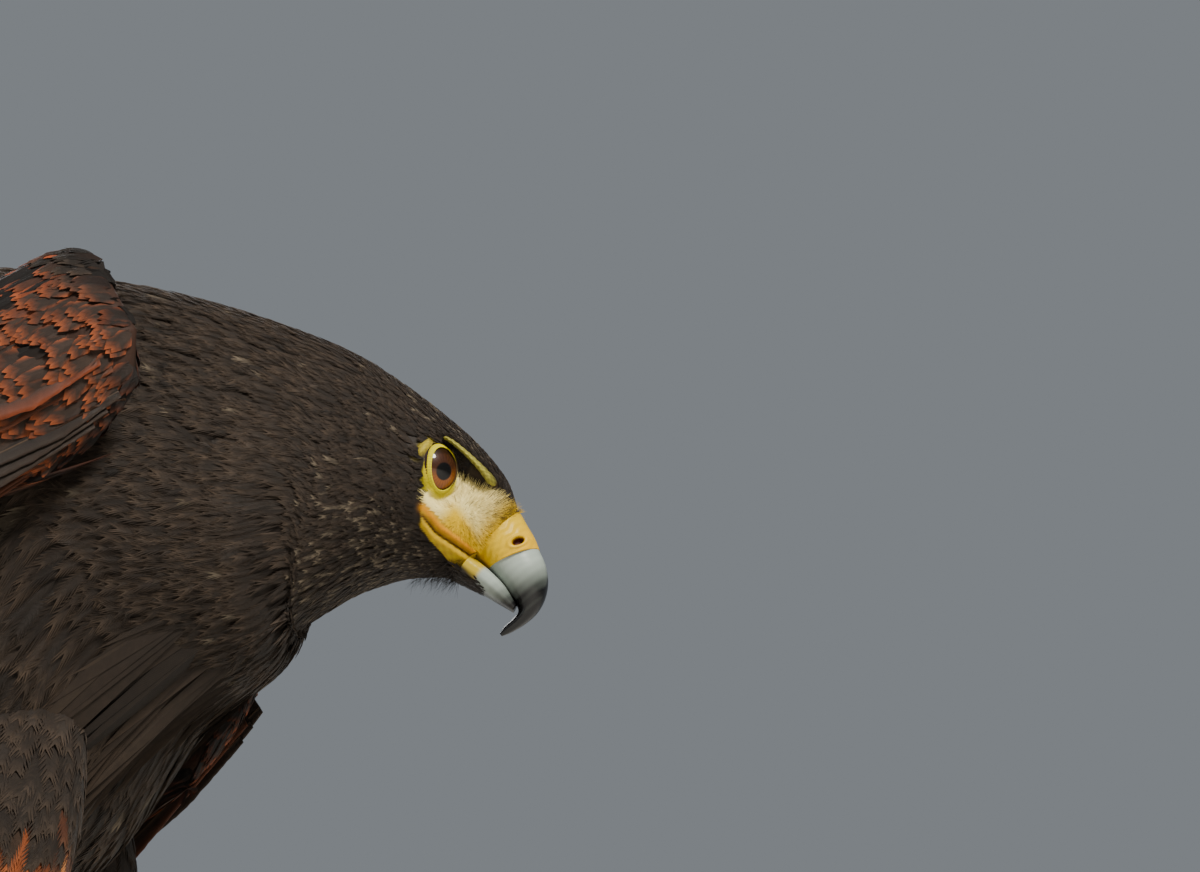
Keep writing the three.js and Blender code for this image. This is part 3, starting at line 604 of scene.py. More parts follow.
# %% Material helpers
def new_material(name, roughness, **sockets):
    material = bpy.data.materials.new(name)
    material.use_nodes = True
    shader = material.node_tree.nodes["Principled BSDF"]
    shader.inputs["Roughness"].default_value = roughness
    for socket, value in sockets.items():
        shader.inputs[socket.replace("_", " ")].default_value = value
    return material, material.node_tree.nodes, material.node_tree.links, shader


def node(nodes, kind, settings=None, **inputs):
    made = nodes.new(kind)
    for key, value in (settings or {}).items():
        setattr(made, key, value)
    for key, value in inputs.items():
        made.inputs[key.replace("_", " ")].default_value = value
    return made


def painted(nodes, links, fac, low, high):
    """The laid colour, darkened to low and lightened to high of itself by fac."""
    laid = node(nodes, "ShaderNodeAttribute", dict(attribute_name="paint"))
    span = node(nodes, "ShaderNodeMapRange", To_Min=low, To_Max=high)
    scale = node(nodes, "ShaderNodeVectorMath", dict(operation="SCALE"))
    links.new(fac, span.inputs["Value"])
    links.new(laid.outputs["Color"], scale.inputs[0])
    links.new(span.outputs["Result"], scale.inputs["Scale"])
    return scale.outputs["Vector"]


def reckon(nodes, links, operation, *terms):
    """A Math node on terms that are sockets or numbers."""
    made = node(nodes, "ShaderNodeMath", dict(operation=operation))
    for given, term in zip(made.inputs, terms):
        if isinstance(term, (int, float)):
            given.default_value = term
        else:
            links.new(term, given)
    return made.outputs[0]


def object_noise(nodes, links, scale, detail, roughness=0.55):
    place = node(nodes, "ShaderNodeTexCoord")
    noise = node(nodes, "ShaderNodeTexNoise", Scale=scale, Detail=detail, Roughness=roughness)
    links.new(place.outputs["Object"], noise.inputs["Vector"])
    return noise.outputs["Fac"]


def bumped(nodes, links, shader, height, strength, distance):
    bump = node(nodes, "ShaderNodeBump", Strength=strength, Distance=distance)
    links.new(height, bump.inputs["Height"])
    links.new(bump.outputs["Normal"], shader.inputs["Normal"])


BARB_WAVES = 2600.0  # how fast the barbs' ripple runs over the map "Lay"


def feather_material(name, roughness, sheen):
    material, nodes, links, shader = new_material(name, roughness, Sheen_Weight=sheen, Sheen_Roughness=0.45)
    shader.inputs["Specular IOR Level"].default_value = 0.16
    lay = node(nodes, "ShaderNodeUVMap", dict(uv_map="Lay"))
    split = node(nodes, "ShaderNodeSeparateXYZ")
    links.new(lay.outputs["UV"], split.inputs[0])
    # barbs leave the shaft at a slant, the same way on both sides of it
    side = reckon(nodes, links, "ABSOLUTE", split.outputs["X"])
    slant = reckon(nodes, links, "MULTIPLY_ADD", side, -0.9, split.outputs["Y"])
    ripple = reckon(nodes, links, "SINE", reckon(nodes, links, "MULTIPLY", slant, BARB_WAVES))
    both = reckon(nodes, links, "MULTIPLY_ADD", ripple, 0.18, object_noise(nodes, links, 420, 5))
    links.new(painted(nodes, links, both, 0.62, 1.38), shader.inputs["Base Color"])
    bumped(nodes, links, shader, both, 0.35, 0.0003)
    return material


def surface_material(name, roughness, scale, strength, distance, low=0.85, high=1.15, **sockets):
    material, nodes, links, shader = new_material(name, roughness, **sockets)
    fine = object_noise(nodes, links, scale, 6, 0.6)
    broad = object_noise(nodes, links, scale / 7, 3)
    links.new(painted(nodes, links, broad, low, high), shader.inputs["Base Color"])
    bumped(nodes, links, shader, fine, strength, distance)
    return material


POLISHED = dict(Coat_Weight=0.16, Coat_Roughness=0.08, Specular_IOR_Level=0.25)
WET = dict(Coat_Weight=0.45, Coat_Roughness=0.02, Specular_IOR_Level=0.08)
FLESHY = dict(Subsurface_Weight=0.08, Subsurface_Scale=0.001)
WAXED = dict(Coat_Weight=0.4, Coat_Roughness=0.15)
BODY_FEATHERS = feather_material("body feathers", 0.66, 0.03)
FLIGHT_FEATHERS = feather_material("flight feathers", 0.52, 0.02)
BARE_SKIN = surface_material("bare skin", 0.6, 900, 0.5, 0.0004, Specular_IOR_Level=0.15)
CERE_SKIN = surface_material("cere", 0.42, 1500, 0.25, 0.0003, 0.9, 1.1, Specular_IOR_Level=0.2)
HORN = surface_material("bill horn", 0.34, 700, 0.10, 0.0002, 0.86, 1.14, **POLISHED)
EYE_GLOSS = surface_material("eye", 0.4, 2600, 0.02, 0.0001, 0.8, 1.2, **WET)
LEG_SCALES = surface_material("leg scales", 0.42, 900, 0.4, 0.0003, 0.82, 1.15, **FLESHY)
CLAW_HORN = surface_material("claw horn", 0.24, 600, 0.12, 0.0002, 0.7, 1.4, **WAXED)
print("materials:", [m.name for m in bpy.data.materials])

# %% [markdown]
# Every piece is one mesh at the origin, made straight from arrays, because thousands
# of feathers would take Blender's own tools too long. Grids of rings are closed with
# a fan at each end, so each part is a solid that a boolean union can join to others.


# %% Mesh helpers
def mesh_piece(name, points, faces, material, paint, lay=None, bake=None, smooth=True):
    """A finished piece at the origin: points in the bird's mm, faces in lists of one size each."""
    lists = [np.asarray(f, np.int32) for f in (faces if isinstance(faces, list) else [faces])]
    corners = np.concatenate([f.ravel() for f in lists])
    sizes = np.concatenate([np.full(len(f), f.shape[1]) for f in lists])
    mesh = bpy.data.meshes.new(name)
    mesh.vertices.add(len(points))
    mesh.vertices.foreach_set("co", placed(points).astype(np.float32).ravel())
    mesh.loops.add(len(corners))
    mesh.loops.foreach_set("vertex_index", corners)
    mesh.polygons.add(len(sizes))
    starts = np.concatenate([[0], np.cumsum(sizes)[:-1]]).astype(np.int32)
    mesh.polygons.foreach_set("loop_start", starts)
    mesh.update(calc_edges=True)
    mesh.polygons.foreach_set("use_smooth", np.full(len(sizes), smooth))
    rgba = np.ones((len(points), 4), np.float32)
    rgba[:, :3] = paint
    mesh.attributes.new("paint", "FLOAT_COLOR", "POINT").data.foreach_set("color", rgba.ravel())
    for title, uv in (("Lay", lay), ("OFBake", bake)):
        if uv is not None:
            mesh.uv_layers.new(name=title).data.foreach_set("uv", uv[corners].astype(np.float32).ravel())
    mesh.materials.append(material)
    obj = bpy.data.objects.new(name, mesh)
    bpy.context.scene.collection.objects.link(obj)
    return obj


def finish_piece(obj, slot, *nodes):
    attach(obj, "root")
    if nodes:
        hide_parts(*nodes)
    return obj


def grid_faces(rows, around):
    """Quads of a grid whose rows close on themselves."""
    i, j = np.meshgrid(np.arange(rows - 1), np.arange(around), indexing="ij")
    k = (j + 1) % around
    quads = [i * around + j, (i + 1) * around + j, (i + 1) * around + k, i * around + k]
    return np.stack(quads, -1).reshape(-1, 4)


def face_inward(points, faces, middles):
    """True if the faces look towards the middles of their rings."""
    a, b, c = (points[faces[:, i]] for i in range(3))
    return (np.cross(b - a, c - a) * (a - middles)).sum() < 0


def closed_grid(grid):
    """Points and faces of a grid of rings, with a fan at each end, all facing outward."""
    rows, around = grid.shape[:2]
    points = np.concatenate([grid.reshape(-1, 3), grid[:1].mean(1), grid[-1:].mean(1)])
    faces = grid_faces(rows, around)
    j = np.arange(around)
    k = (j + 1) % around
    n, end = rows * around, (rows - 1) * around
    first, last = np.stack([j, k, 0 * j + n], -1), np.stack([end + k, end + j, 0 * j + n + 1], -1)
    fans = np.concatenate([first, last])
    if face_inward(points, faces, grid.mean(1)[faces[:, 0] // around]):
        faces, fans = faces[:, ::-1], fans[:, ::-1]
    return points, [faces, fans]


def gathered(parts):
    """Closed grids side by side as one: all their points, and all their faces."""
    starts = np.cumsum([0] + [len(points) for points, _ in parts[:-1]])
    faces = [np.concatenate([f[kind] + n for (_, f), n in zip(parts, starts)]) for kind in (0, 1)]
    return np.concatenate([points for points, _ in parts]), faces


def joined(name, parts, material, paint):
    """Closed grids joined to one mesh by a boolean union, then painted by place."""
    made = [mesh_piece(f"{name}{i}", *part, material, 0.5) for i, part in enumerate(parts)]
    whole = made[0]
    for other in made[1:]:
        joint = whole.modifiers.new("join", "BOOLEAN")
        joint.operation, joint.solver, joint.object = "UNION", "MANIFOLD", other
    bpy.context.view_layer.update()
    mesh = bpy.data.meshes.new_from_object(whole.evaluated_get(bpy.context.evaluated_depsgraph_get()))
    whole.modifiers.clear()
    whole.data = mesh
    for other in made[1:]:
        bpy.data.objects.remove(other)
    whole.name = mesh.name = name
    count = len(mesh.vertices)
    co = np.empty(count * 3, np.float32)
    mesh.vertices.foreach_get("co", co)
    rgba = np.ones((count, 4), np.float32)
    rgba[:, :3] = paint(co.reshape(-1, 3) * 1000.0 - SHIFT)
    if "paint" not in mesh.attributes:  # a union may drop it
        mesh.attributes.new("paint", "FLOAT_COLOR", "POINT")
    mesh.attributes["paint"].data.foreach_set("color", rgba.ravel())
    mesh.polygons.foreach_set("use_smooth", np.full(len(mesh.polygons), True))
    print(f"{name}: {len(parts)} parts joined, {len(mesh.polygons)} faces")
    return whole


# %% [markdown]
# The coat's depth: how far the skin lies under the outline. It is nothing where the
# face is bare, a millimetre or two on the head and three millimetres on the body.
# The bare places of the face are drawn in its side view, as outlines.

# %% Bare places of the face and the coat's depth
LORES = [
    (1.0, -9.6), (2.0, -7.4), (3.0, -3.0), (4.5, 1.2), (10.2, 3.0), (14.0, 5.6), (17.4, 5.9), (23.4, 5.6),
    (25.5, 1.0), (25.0, -4.0), (24.0, -8.5), (23.0, -11.2), (15.2, -11.6), (10.6, -12.0),
    (6.5, -11.8), (2.6, -12.0),
]
GAPE = [
    (3.4, -14.2), (2.6, -12.0), (6.5, -11.8), (10.6, -12.0), (15.2, -11.6), (23.0, -11.2), (26.0, -10.0),
    (27.5, -19.6), (23.0, -19.6), (18.3, -18.8), (13.6, -18.2), (9.4, -18.0), (5.8, -17.2),
]
HOLLOW = [(5.6, 0.6), (5.0, 6.6), (9.0, 8.0), (13.4, 8.2), (14.4, 5.6), (10.2, 2.8), (7.2, 1.0)]


def inside(outline, x, z):
    found = np.zeros(np.shape(x), bool)
    for (x0, z0), (x1, z1) in zip(outline, outline[1:] + outline[:1]):
        if z0 != z1:
            found ^= ((z0 > z) != (z1 > z)) & (x < x0 + (z - z0) * (x1 - x0) / (z1 - z0))
    return found


def eye_ring(points):
    """How far round the nearer eye a point lies: 1 on the crest of its lids."""
    off = np.stack(side_view(points), -1) - eye_place(1)
    axis, up, across = eye_axes(1)
    return np.where(off @ axis > -4, oval(off, up, across), 9)


def bare(points, s):
    """True where the face has no feathers."""
    x, y, z = side_view(points)
    drawn = inside(LORES, x, z) | inside(GAPE, x, z) | inside(HOLLOW, x, z)
    spot = np.hypot((x + 6.9) / 1.0, (z - 0.8) / 3.0) < 1
    return (s < 6) & ((drawn & (y > 3)) | spot | (eye_ring(points) < 1.12))


def soften(mask, rounds):
    """A mask on a form's grid with its edge blurred."""
    soft = mask.astype(float)
    for _ in range(rounds):
        soft[1:-1] = (soft[:-2] + 2 * soft[1:-1] + soft[2:]) / 4
        soft = (np.roll(soft, 1, 1) + 2 * soft + np.roll(soft, -1, 1)) / 4
    return soft


COAT_DEPTH = [(0, 0.6), (2, 0.9), (5, 1.4), (7, 1.8), (10, 2.2), (13, 2.8), (18, 3.0)]
is_bare = soften(bare(body.grid, body.s), 3)
body.depth = (through(COAT_DEPTH, body.s) * (1 - is_bare))[..., None]
print("bare share of the head:", round(float(is_bare[:120].mean()), 3))

# %% [markdown]
# The tail is a flat sheet that drops behind the body, and like a wing's it carries
# long feathers that are laid out flat. Its fleshy root is a short tapering form.

# %% Tail sheet and the root of the tail
TAIL_ROOT = np.array([-111.0, 0, 143])
TAIL_DROP = math.radians(31)


def tail_sheet(p, q, h):
    back = np.array([-math.cos(TAIL_DROP), 0, -math.sin(TAIL_DROP)])
    up = np.array([-math.sin(TAIL_DROP), 0, math.cos(TAIL_DROP)])
    p, q, h = (np.asarray(v, float)[..., None] for v in (p, q, h))
    return TAIL_ROOT + back * p + up * h + np.array([0, 1.0, 0]) * q


def tail_root_point(p, angle):
    wide = through([(-16, 16), (20, 18), (42, 18), (66, 16), (74, 10)], p)
    high = through([(-16, 18), (20, 14.5), (42, 8.6), (66, 3.2), (74, 1.4)], p)
    return tail_sheet(p, wide * np.cos(angle), high * np.sin(angle) - 1.5)


tail_root = Form(tail_root_point, -16, 74, 46, 64)
print("tail root", tail_root.grid.shape)

# %% [markdown]
# Colours of the skin. Under the coat it repeats the coat's own markings, so that no
# pale gap shines between feathers. On the face it is bare and painted by place, in
# the side view: cream lores, flesh at the gape, orange lips, a dark hollow with painted shade under the brow.

# %% Colours of the skin
CHOCOLATE, PALE_RIM = colour(26, 20, 15), colour(52, 42, 33)
RUFOUS = colour(124, 62, 28)
WHITE = colour(216, 209, 194)
YELLOW, LIP_ORANGE, LIME = colour(186, 152, 0), colour(174, 114, 0), colour(160, 146, 2)
CREAM = colour(206, 190, 124)


def coat_ground(points):
    """The coat's markings: brown, with rufous thighs, dark red-brown arms and a white stern."""
    x, y, z = points[:, 0], np.abs(points[:, 1]), points[:, 2]
    trousers = ease(z, 158, 146) * ease(x, -72, -62) * ease(y, 10, 14)
    wing = ease(y, 58, 62) * ease(z, 120, 130)
    stern = ease((-(x + 43) * 94 - (z - 128) * 69) / 116.6, 2, 20) * ease(y, 50, 44)
    paint = mix(mix(CHOCOLATE, RUFOUS * 0.7, trousers[:, None]), colour(42, 27, 20), wing[:, None])
    return mix(paint, WHITE * 0.8, stern[:, None])


def lore_tone(x, z):
    """Cream by the eye and the whorl, yellow low down and next to the cere."""
    low = ease(z + 0.25 * (x - 12), -4.5, -8.5) * ease(x, 6, 11)
    return mix(CREAM, YELLOW, np.maximum(low, ease(x, 15, 21))[..., None])


def skin_paint(points):
    """Colours of the bare face, and the coat's markings everywhere else."""
    x, _, z = side_view(points)
    paint = coat_ground(points)
    paint = np.where((inside(LORES, x, z) & (x > -6))[..., None], lore_tone(x, z), paint)
    mottle = (0.5 + 0.5 * np.sin(2.3 * x) * np.sin(3.1 * z))[..., None]
    flesh = mix(colour(162, 138, 26), colour(118, 84, 22), mottle * 0.6)
    paint = np.where(inside(GAPE, x, z)[..., None], flesh, paint)
    near_mouth = ease(x, -4, 0)[..., None]
    paint = mix(paint, LIP_ORANGE, near_mouth * near_line(UPPER_LIP, x, z, 1.1)[..., None])
    paint = mix(paint, colour(176, 140, 2), near_mouth * 0.8 * near_line(LOWER_LIP, x, z, 0.7)[..., None])
    paint = mix(paint, colour(52, 20, 8), near_mouth * near_line(MOUTH_LINE, x, z, 0.42)[..., None])
    # the hollow's skin is darker, and painted shade deepens it towards the brow, where the brow's shadow
    # falls
    shade = ease(z - 0.3 * (x - 8), 1.2, 3.0)[..., None] * inside(HOLLOW, x, z)[..., None]
    paint = mix(paint, colour(44, 33, 18), shade)
    spot = np.exp(-(((x + 6.9) / 1.3) ** 2) - ((z - 0.8) / 3.2) ** 2)[..., None]
    grain = (0.5 + 0.5 * np.sin(5.1 * x) * np.sin(4.3 * z))[..., None]
    paint = mix(paint, mix(colour(160, 146, 44), colour(118, 100, 36), grain), np.clip(1.5 * spot, 0, 1))
    ring = eye_ring(points)[..., None]
    under = (ease(z, 0, -3) * ease(x, -6, -2))[..., None]
    return mix(paint, LIME, ease(ring, 1.15 + 0.30 * under, 1.09 + 0.2 * under) * (x < 7)[..., None])


bill_root = np.array([from_head([20, 9, -6]), from_head([5, 14, 6])])
print("skin by the bill and in the hollow:", skin_paint(bill_root).round(2).tolist())

# %% [markdown]
# One skin for the whole animal. It runs under every feather, and shows on the face.
# Head and body come from the form, row by row, and thighs, arms and the root of the
# tail are joined to it with a boolean union, so that no seam is left.

# %% Skin
FINE_ROWS = 150  # the head's and the neck's; behind them every fourth row is enough
THIGH_SKIN, THIN_SKIN = 2.4, 2.0  # how deep the skin lies under the other forms


def make_skin():
    last = len(body.grid) - 1
    rows = np.r_[0:FINE_ROWS, FINE_ROWS:last:4, last]
    parts = [closed_grid((body.grid - body.normal * body.depth)[rows])]
    others = [(form, THIGH_SKIN) for form in thighs.values()]
    others += [(form, THIN_SKIN) for form in (*arms.values(), tail_root)]
    for form, depth in others:
        parts.append(closed_grid((form.grid - form.normal * depth)[::2, ::2]))
    return joined("skin", parts, BARE_SKIN, skin_paint)


skin = finish_piece(make_skin(), "plumage", "head", "neck", "torso", "thigh_right", "thigh_left")

# %% [markdown]
# A feather. Real contour feathers are a shaft with barbs swept towards the tip, and
# what the eye reads as softness is the frayed rim where the barbs part. So each one
# is built from groups of barbs, left and right of the shaft and set at a slant. Firm
# feathers have closed wedges with blunt ends, soft ones have barbs that run out in
# points. One template is bent along the form for thousands of feathers at once, which
# needs no particle system and stays a plain mesh.


# %% Feather templates
def vane_width(t):
    return (1 - (t / 0.95) ** 2.4) ** 0.8 * (0.55 + 0.45 * min(1, t / 0.22))


def wedge_template(groups, sweep, fray):
    """Points (side, along, rise) of a firm feather and its faces: six points a wedge."""
    points, faces = [], []
    for side in (-1, 1):
        for k in range(groups):
            t0, t1 = k / groups * 0.86, (k + 1) / groups * 0.86
            lean, gap = sweep * (1 - 0.45 * t0), fray * (t1 - t0)
            a, b = side * vane_width(t0), side * vane_width(t1)
            n = len(points)
            points += [(0, t0, 0.0), (0, t1 + 0.02, 0.0)]
            points += [(0.5 * a, t0 + lean * 0.55, 1.0), (0.5 * b, t1 + lean * 0.55, 1.0)]
            points += [(a, min(1, t0 + lean), 0.35), (b, min(1, t1 + lean - gap), 0.35)]
            f = [(0, 1, 3), (0, 3, 2), (2, 3, 5), (2, 5, 4), (0, 4, 5), (0, 5, 1), (0, 2, 4), (1, 5, 3)]
            faces += [[n + i for i in (t if side > 0 else t[::-1])] for t in f]
    return np.array(points), np.array(faces), 6


def hair_template(groups, sweep):
    """The same for a soft feather, whose barbs end in points: four points a barb."""
    points, faces = [], []
    for side in (-1, 1):
        for k in range(groups):
            t0, t1 = k / groups * 0.80, min(0.9, (k + 1.7) / groups * 0.80)
            lean = sweep * (1 - 0.35 * t0)
            reach = side * vane_width(min(0.9, (t0 + t1) / 2))
            n = len(points)
            points += [(0, t0, 0.0), (0, t1, 0.3)]
            points += [(0.5 * reach, (t0 + t1) / 2 + lean * 0.45, 1.0), (reach, min(1.02, t1 + lean), 0.2)]
            f = [(0, 1, 2), (0, 2, 3), (2, 1, 3), (0, 3, 1)]
            faces += [[n + i for i in (t if side > 0 else t[::-1])] for t in f]
    return np.array(points), np.array(faces), 4


FINE, SOFT, LONG = hair_template(6, 0.30), hair_template(8, 0.30), hair_template(10, 0.30)
COVERT = wedge_template(7, 0.2, 0.15)
print("triangles in a feather:", [len(made[1]) for made in (FINE, SOFT, LONG, COVERT)])

# %% [markdown]
# Where feathers grow: the form's surface is shared out so that each one stands for
# the same number of square millimetres, less where they are small. The roots follow
# the rings of the form, a little out of step from one ring to the next.


# %% Sowing roots on a form
def sow(form, spacing, rng, allowed=None):
    """Stations and angles of roots: spacing(s, angle) is the distance between them in mm."""
    area = np.linalg.norm(np.cross(form.along, form.round), axis=-1) * form.step * 2 * np.pi / form.around
    want = area / spacing(form.s, form.angle) ** 2
    if allowed is not None:
        want = want * allowed
    total = np.cumsum(want.ravel())
    count = int(total[-1])
    pick = np.searchsorted(total, (np.arange(count) + rng.uniform(0, 1, count)) / count * total[-1])
    pick = np.clip(pick, 0, want.size - 1)
    s = form.s.ravel()[pick] + rng.uniform(-0.5, 0.5, count) * form.step
    angle = form.angle.ravel()[pick] + rng.uniform(-0.5, 0.5, count) * 2 * np.pi / form.around
    return np.clip(s, form.first, form.last), angle


# %% [markdown]
# Laying a feather means bending it along the form. Its root and its direction are
# known, and the form's own stretch turns each millimetre of the template into steps
# of station and angle. Roots sit deep and tips come up to the outline, so feathers
# overlap like shingles. The map "OFBake" gives each feather a small patch of its own.

# %% Laying feathers along a form
PATCH = 0.003  # height of a feather's patch in the map
RIM_START = 0.5  # where the rim's colour begins
SUNK = 0.25  # the whole feather sits this share of the coat's depth low, inside the outline
RUFFLE = 0.021


def bake_patch(side, along):
    return np.stack([side * PATCH / 2, (along - 0.5) * PATCH], -1)


def lay_feathers(name, form, s, angle, lie, size, depth, tones, slot, rng, made, lift=0.0):
    """One mesh of feathers with their roots at stations s and angles.

    lie is their direction, size their length and width, depth how deep the roots sit,
    tones the colours of base and rim, made their template, lift how far the tips rise.
    """
    template, faces, each = made
    root, normal, along, around = form.at(s, angle, "grid", "normal", "along", "round")
    count = len(s)
    ahead = unit(lie - (lie * normal).sum(-1, keepdims=True) * normal)
    turn = rng.normal(0, 0.16, count)[:, None]
    ahead = unit(ahead + np.cross(normal, ahead) * turn)
    across = np.cross(normal, ahead)
    length = size[0] * rng.uniform(0.82, 1.18, count)
    width = size[1] * rng.uniform(0.85, 1.15, count) / 2
    # the form's own stretch turns millimetres into stations and angles
    aa, ar, rr = (along**2).sum(-1), (along * around).sum(-1), (around**2).sum(-1)
    det = np.maximum(aa * rr - ar * ar, 1e-6)

    def steps(direction):
        da, dr = (direction * along).sum(-1), (direction * around).sum(-1)
        return (rr * da - ar * dr) / det, (aa * dr - ar * da) / det

    (sa, ra), (sw, rw) = steps(ahead), steps(across)
    side, t, rise = template[:, 0], template[:, 1], template[:, 2]
    ruffled = rng.normal(0, 1, (count, len(template) // each)).repeat(each, 1)
    u = length[:, None] * t * (1 + 0.02 * ruffled * (np.abs(side) > 0.6))
    w = width[:, None] * side * (1 + 0.06 * ruffled * (np.abs(side) > 0.6))
    w = w + rng.normal(0, 0.08, count)[:, None] * length[:, None] * t**2
    height = -depth[:, None] * (SUNK + np.maximum(1 - t, 0) ** 1.5) + lift * length[:, None] * t**2
    height = height - 0.10 * width[:, None] * side**2 + 0.05 * width[:, None] * rise
    height = height + rng.uniform(-0.12, 0.06, count)[:, None] * depth[:, None]
    height = height + RUFFLE * width[:, None] * ruffled * side**2
    vs = s[:, None] + u * sa[:, None] + w * sw[:, None]
    va = angle[:, None] + u * ra[:, None] + w * rw[:, None]
    place, out = form.at(vs, va, "grid", "normal")
    points = (place + out * height[..., None]).reshape(-1, 3)
    n = len(template)
    all_faces = (faces[None] + (np.arange(count) * n)[:, None, None]).reshape(-1, 3)
    rim = ease(np.maximum(np.abs(side) ** 1.5 * 0.9, t**2), RIM_START, 1.0)[None, :, None]
    paint = mix(tones[0][:, None, :], tones[1][:, None, :], rim)
    paint = paint * (1 + 0.08 * ruffled[..., None]) * rng.uniform(0.78, 1.22, count)[:, None, None]
    lay = np.stack([w * 0.1, u * 0.1], -1).reshape(-1, 2)
    root_uv = np.stack([(angle / (2 * np.pi)) % 1, (s - form.first) / (form.last - form.first)], -1)
    bake = np.clip(root_uv[:, None] * 0.99 + 0.005 + bake_patch(side, t)[None], 0, 1).reshape(-1, 2)
    paint = np.clip(paint, 0.001, 1).reshape(-1, 3)
    obj = mesh_piece(name, points, all_faces, BODY_FEATHERS, paint, lay, bake, smooth=False)
    finish_piece(obj, slot)
    print(f"{name}: {count} feathers, {len(all_faces)} triangles")


# %% [markdown]
# The coat of head, neck and body. Feathers grow from a few millimetres on the face
# to a finger's length on the back, and all point from the bill to the tail. They
# are chocolate brown with paler rims, and turn white where the tail begins.

# %% Coat of the head and body
LENGTHS = [(0, 2.6), (1, 3.2), (3, 5.6), (6, 9.5), (8, 13), (10, 16), (13, 22), (18, 26)]
WIDTHS = [(0, 0.9), (1, 1.0), (3, 1.4), (6, 2.0), (8, 2.8), (10, 4.0), (13, 8), (18, 12)]


def brown_tones(root, s, rng):
    """Base and rim colours: some feathers of the throat, the nape and the breast are worn pale."""
    shade = rng.normal(0, 0.12, len(s))[:, None]
    white = ease(s, 16.0, 17.3)[:, None]
    head = to_head(root)
    throat = ease(head[:, 2], -15, -22) * ease(s, 0.5, 2) * ease(s, 7, 5)
    nape = ease(head[:, 2], 8, 13) * ease(s, 1, 2.5) * ease(s, 7, 4)
    chance = 0.008 + 0.22 * throat + 0.14 * nape + 0.012 * ease(s, 8, 11)
    worn = (rng.random(len(s)) < chance)[:, None]
    base = mix(CHOCOLATE * (1 + shade), WHITE * 0.85, white)
    rim = PALE_RIM * (1 + 2 * shade) * mix(0.62, 1.0, ease(s, 3, 9)[:, None])
    rim = np.where(worn, colour(92, 82, 68), rim)
    base = np.where(worn, mix(base, rim, 0.2), base)
    return base, mix(rim, WHITE, white)


def body_coat(name, first, last, share, made, seed):
    rng = np.random.default_rng(seed)
    allowed = ((body.s >= first) & (body.s < last)) * (1 - is_bare)
    spacing = lambda s, angle: np.sqrt(through(LENGTHS, s) * through(WIDTHS, s) * share)
    s, angle = sow(body, spacing, rng, allowed)
    root, lie = body.at(s, angle, "grid", "along")
    tip = root + unit(lie) * through(LENGTHS, s)[:, None]
    keep = ~bare(root, s) & ~bare(tip, s)
    s, angle, lie, root = s[keep], angle[keep], lie[keep], root[keep]
    size, depth = (through(LENGTHS, s), through(WIDTHS, s)), through(COAT_DEPTH, s)
    tones = brown_tones(root, s, rng)
    lay_feathers(name, body, s, angle, lie, size, depth, tones, "plumage", rng, made)


body_coat("coat_face", 0, 3.6, 0.10, FINE, 11)
body_coat("coat_crown", 3.6, 7, 0.10, FINE, 12)
body_coat("coat_neck", 7, 10, 0.10, SOFT, 13)
body_coat("coat_breast", 10, 13.5, 0.12, LONG, 14)
body_coat("coat_rump", 13.5, 18, 0.16, LONG, 15)

# %% [markdown]
# Thighs wear long soft "trousers" of rufous feathers that hang down over the shank.

# %% Coat of the thighs
for side in (-1, 1):
    rng = np.random.default_rng(21 + side)
    form = thighs[side]
    long, wide = [(0, 20), (3, 17), (6, 10)], [(0, 6.5), (3, 5), (6, 3)]
    spacing = lambda s, angle: np.sqrt(through(long, s) * through(wide, s) * 0.15)
    s, angle = sow(form, spacing, rng, form.s > 0.5)
    root, lie = form.at(s, angle, "grid", "along")
    brown_above = ease(root[:, 2] + rng.normal(0, 4, len(s)), 148, 162)[:, None]  # brown over the top of the thigh, rufous below
    streak = (rng.random(len(s)) < 0.22)[:, None] * 0.6
    red = RUFOUS * (1 + rng.normal(0, 0.14, len(s)))[:, None]
    base = mix(mix(red, colour(180, 126, 72), streak), CHOCOLATE, brown_above)
    rim = mix(mix(RUFOUS, colour(156, 88, 44), 0.6 + streak), PALE_RIM, brown_above)
    size = through(long, s), through(wide, s)
    name = f"coat_thigh_{NAMES[side]}"
    lay_feathers(name, form, s, angle, lie, size, 1.8 + 0 * s, (base, rim), "plumage", rng, SOFT)

# %% [markdown]
# The arm of each wing is shingled with small coverts. High on the shoulder they are
# plain red-brown; lower down each has a dark middle and a rufous rim.

# %% Coat of the wing arms
for side in (-1, 1):
    rng = np.random.default_rng(31 + side)
    form, reach = arms[side], WINGS[side]["reach"]
    share_of = lambda angle: (1 - np.cos(angle)) / 2
    long = lambda angle: through([(0, 8), (0.4, 14), (1, 24)], share_of(angle))
    wide = lambda angle: through([(0, 5.0), (0.4, 8), (1, 14)], share_of(angle))
    spacing = lambda s, angle: np.sqrt(long(angle) * wide(angle) * 0.26)
    q, angle = sow(form, spacing, rng)
    lie = sheets[side].back + np.zeros((len(q), 3))
    solid = ease(q + rng.normal(0, 5, len(q)), 0.40 * reach, 0.62 * reach)[:, None]
    rear = ease(share_of(angle), 0.55, 0.85)[:, None]
    ragged = share_of(angle) + rng.normal(0, 0.03, len(q))
    cape = (ease(ragged, 0.14, 0.05) * ease(q, 0.25 * reach, 0.5 * reach))[:, None]
    base = mix(colour(38, 28, 22), colour(112, 52, 27), solid)
    base = mix(mix(base, colour(38, 29, 23), rear), CHOCOLATE, cape)
    rim = mix(colour(128, 63, 31), colour(122, 60, 32), solid)
    rim = mix(mix(rim, colour(66, 43, 28), rear), PALE_RIM, cape)
    # painted shade: the inner face of each arm is darkened to a fifth, as it lies in shadow
    shade = mix(1.0, 0.2, ease(np.sin(angle), 0.3, 0.0)[:, None])  # the inner face is darker by far
    tones = (base * shade, rim * shade)
    size = long(angle), wide(angle)
    name = f"coat_arm_{NAMES[side]}"
    lay_feathers(name, form, q, angle, lie, size, 2.0 + 0 * q, tones, "shoulder", rng, COVERT)

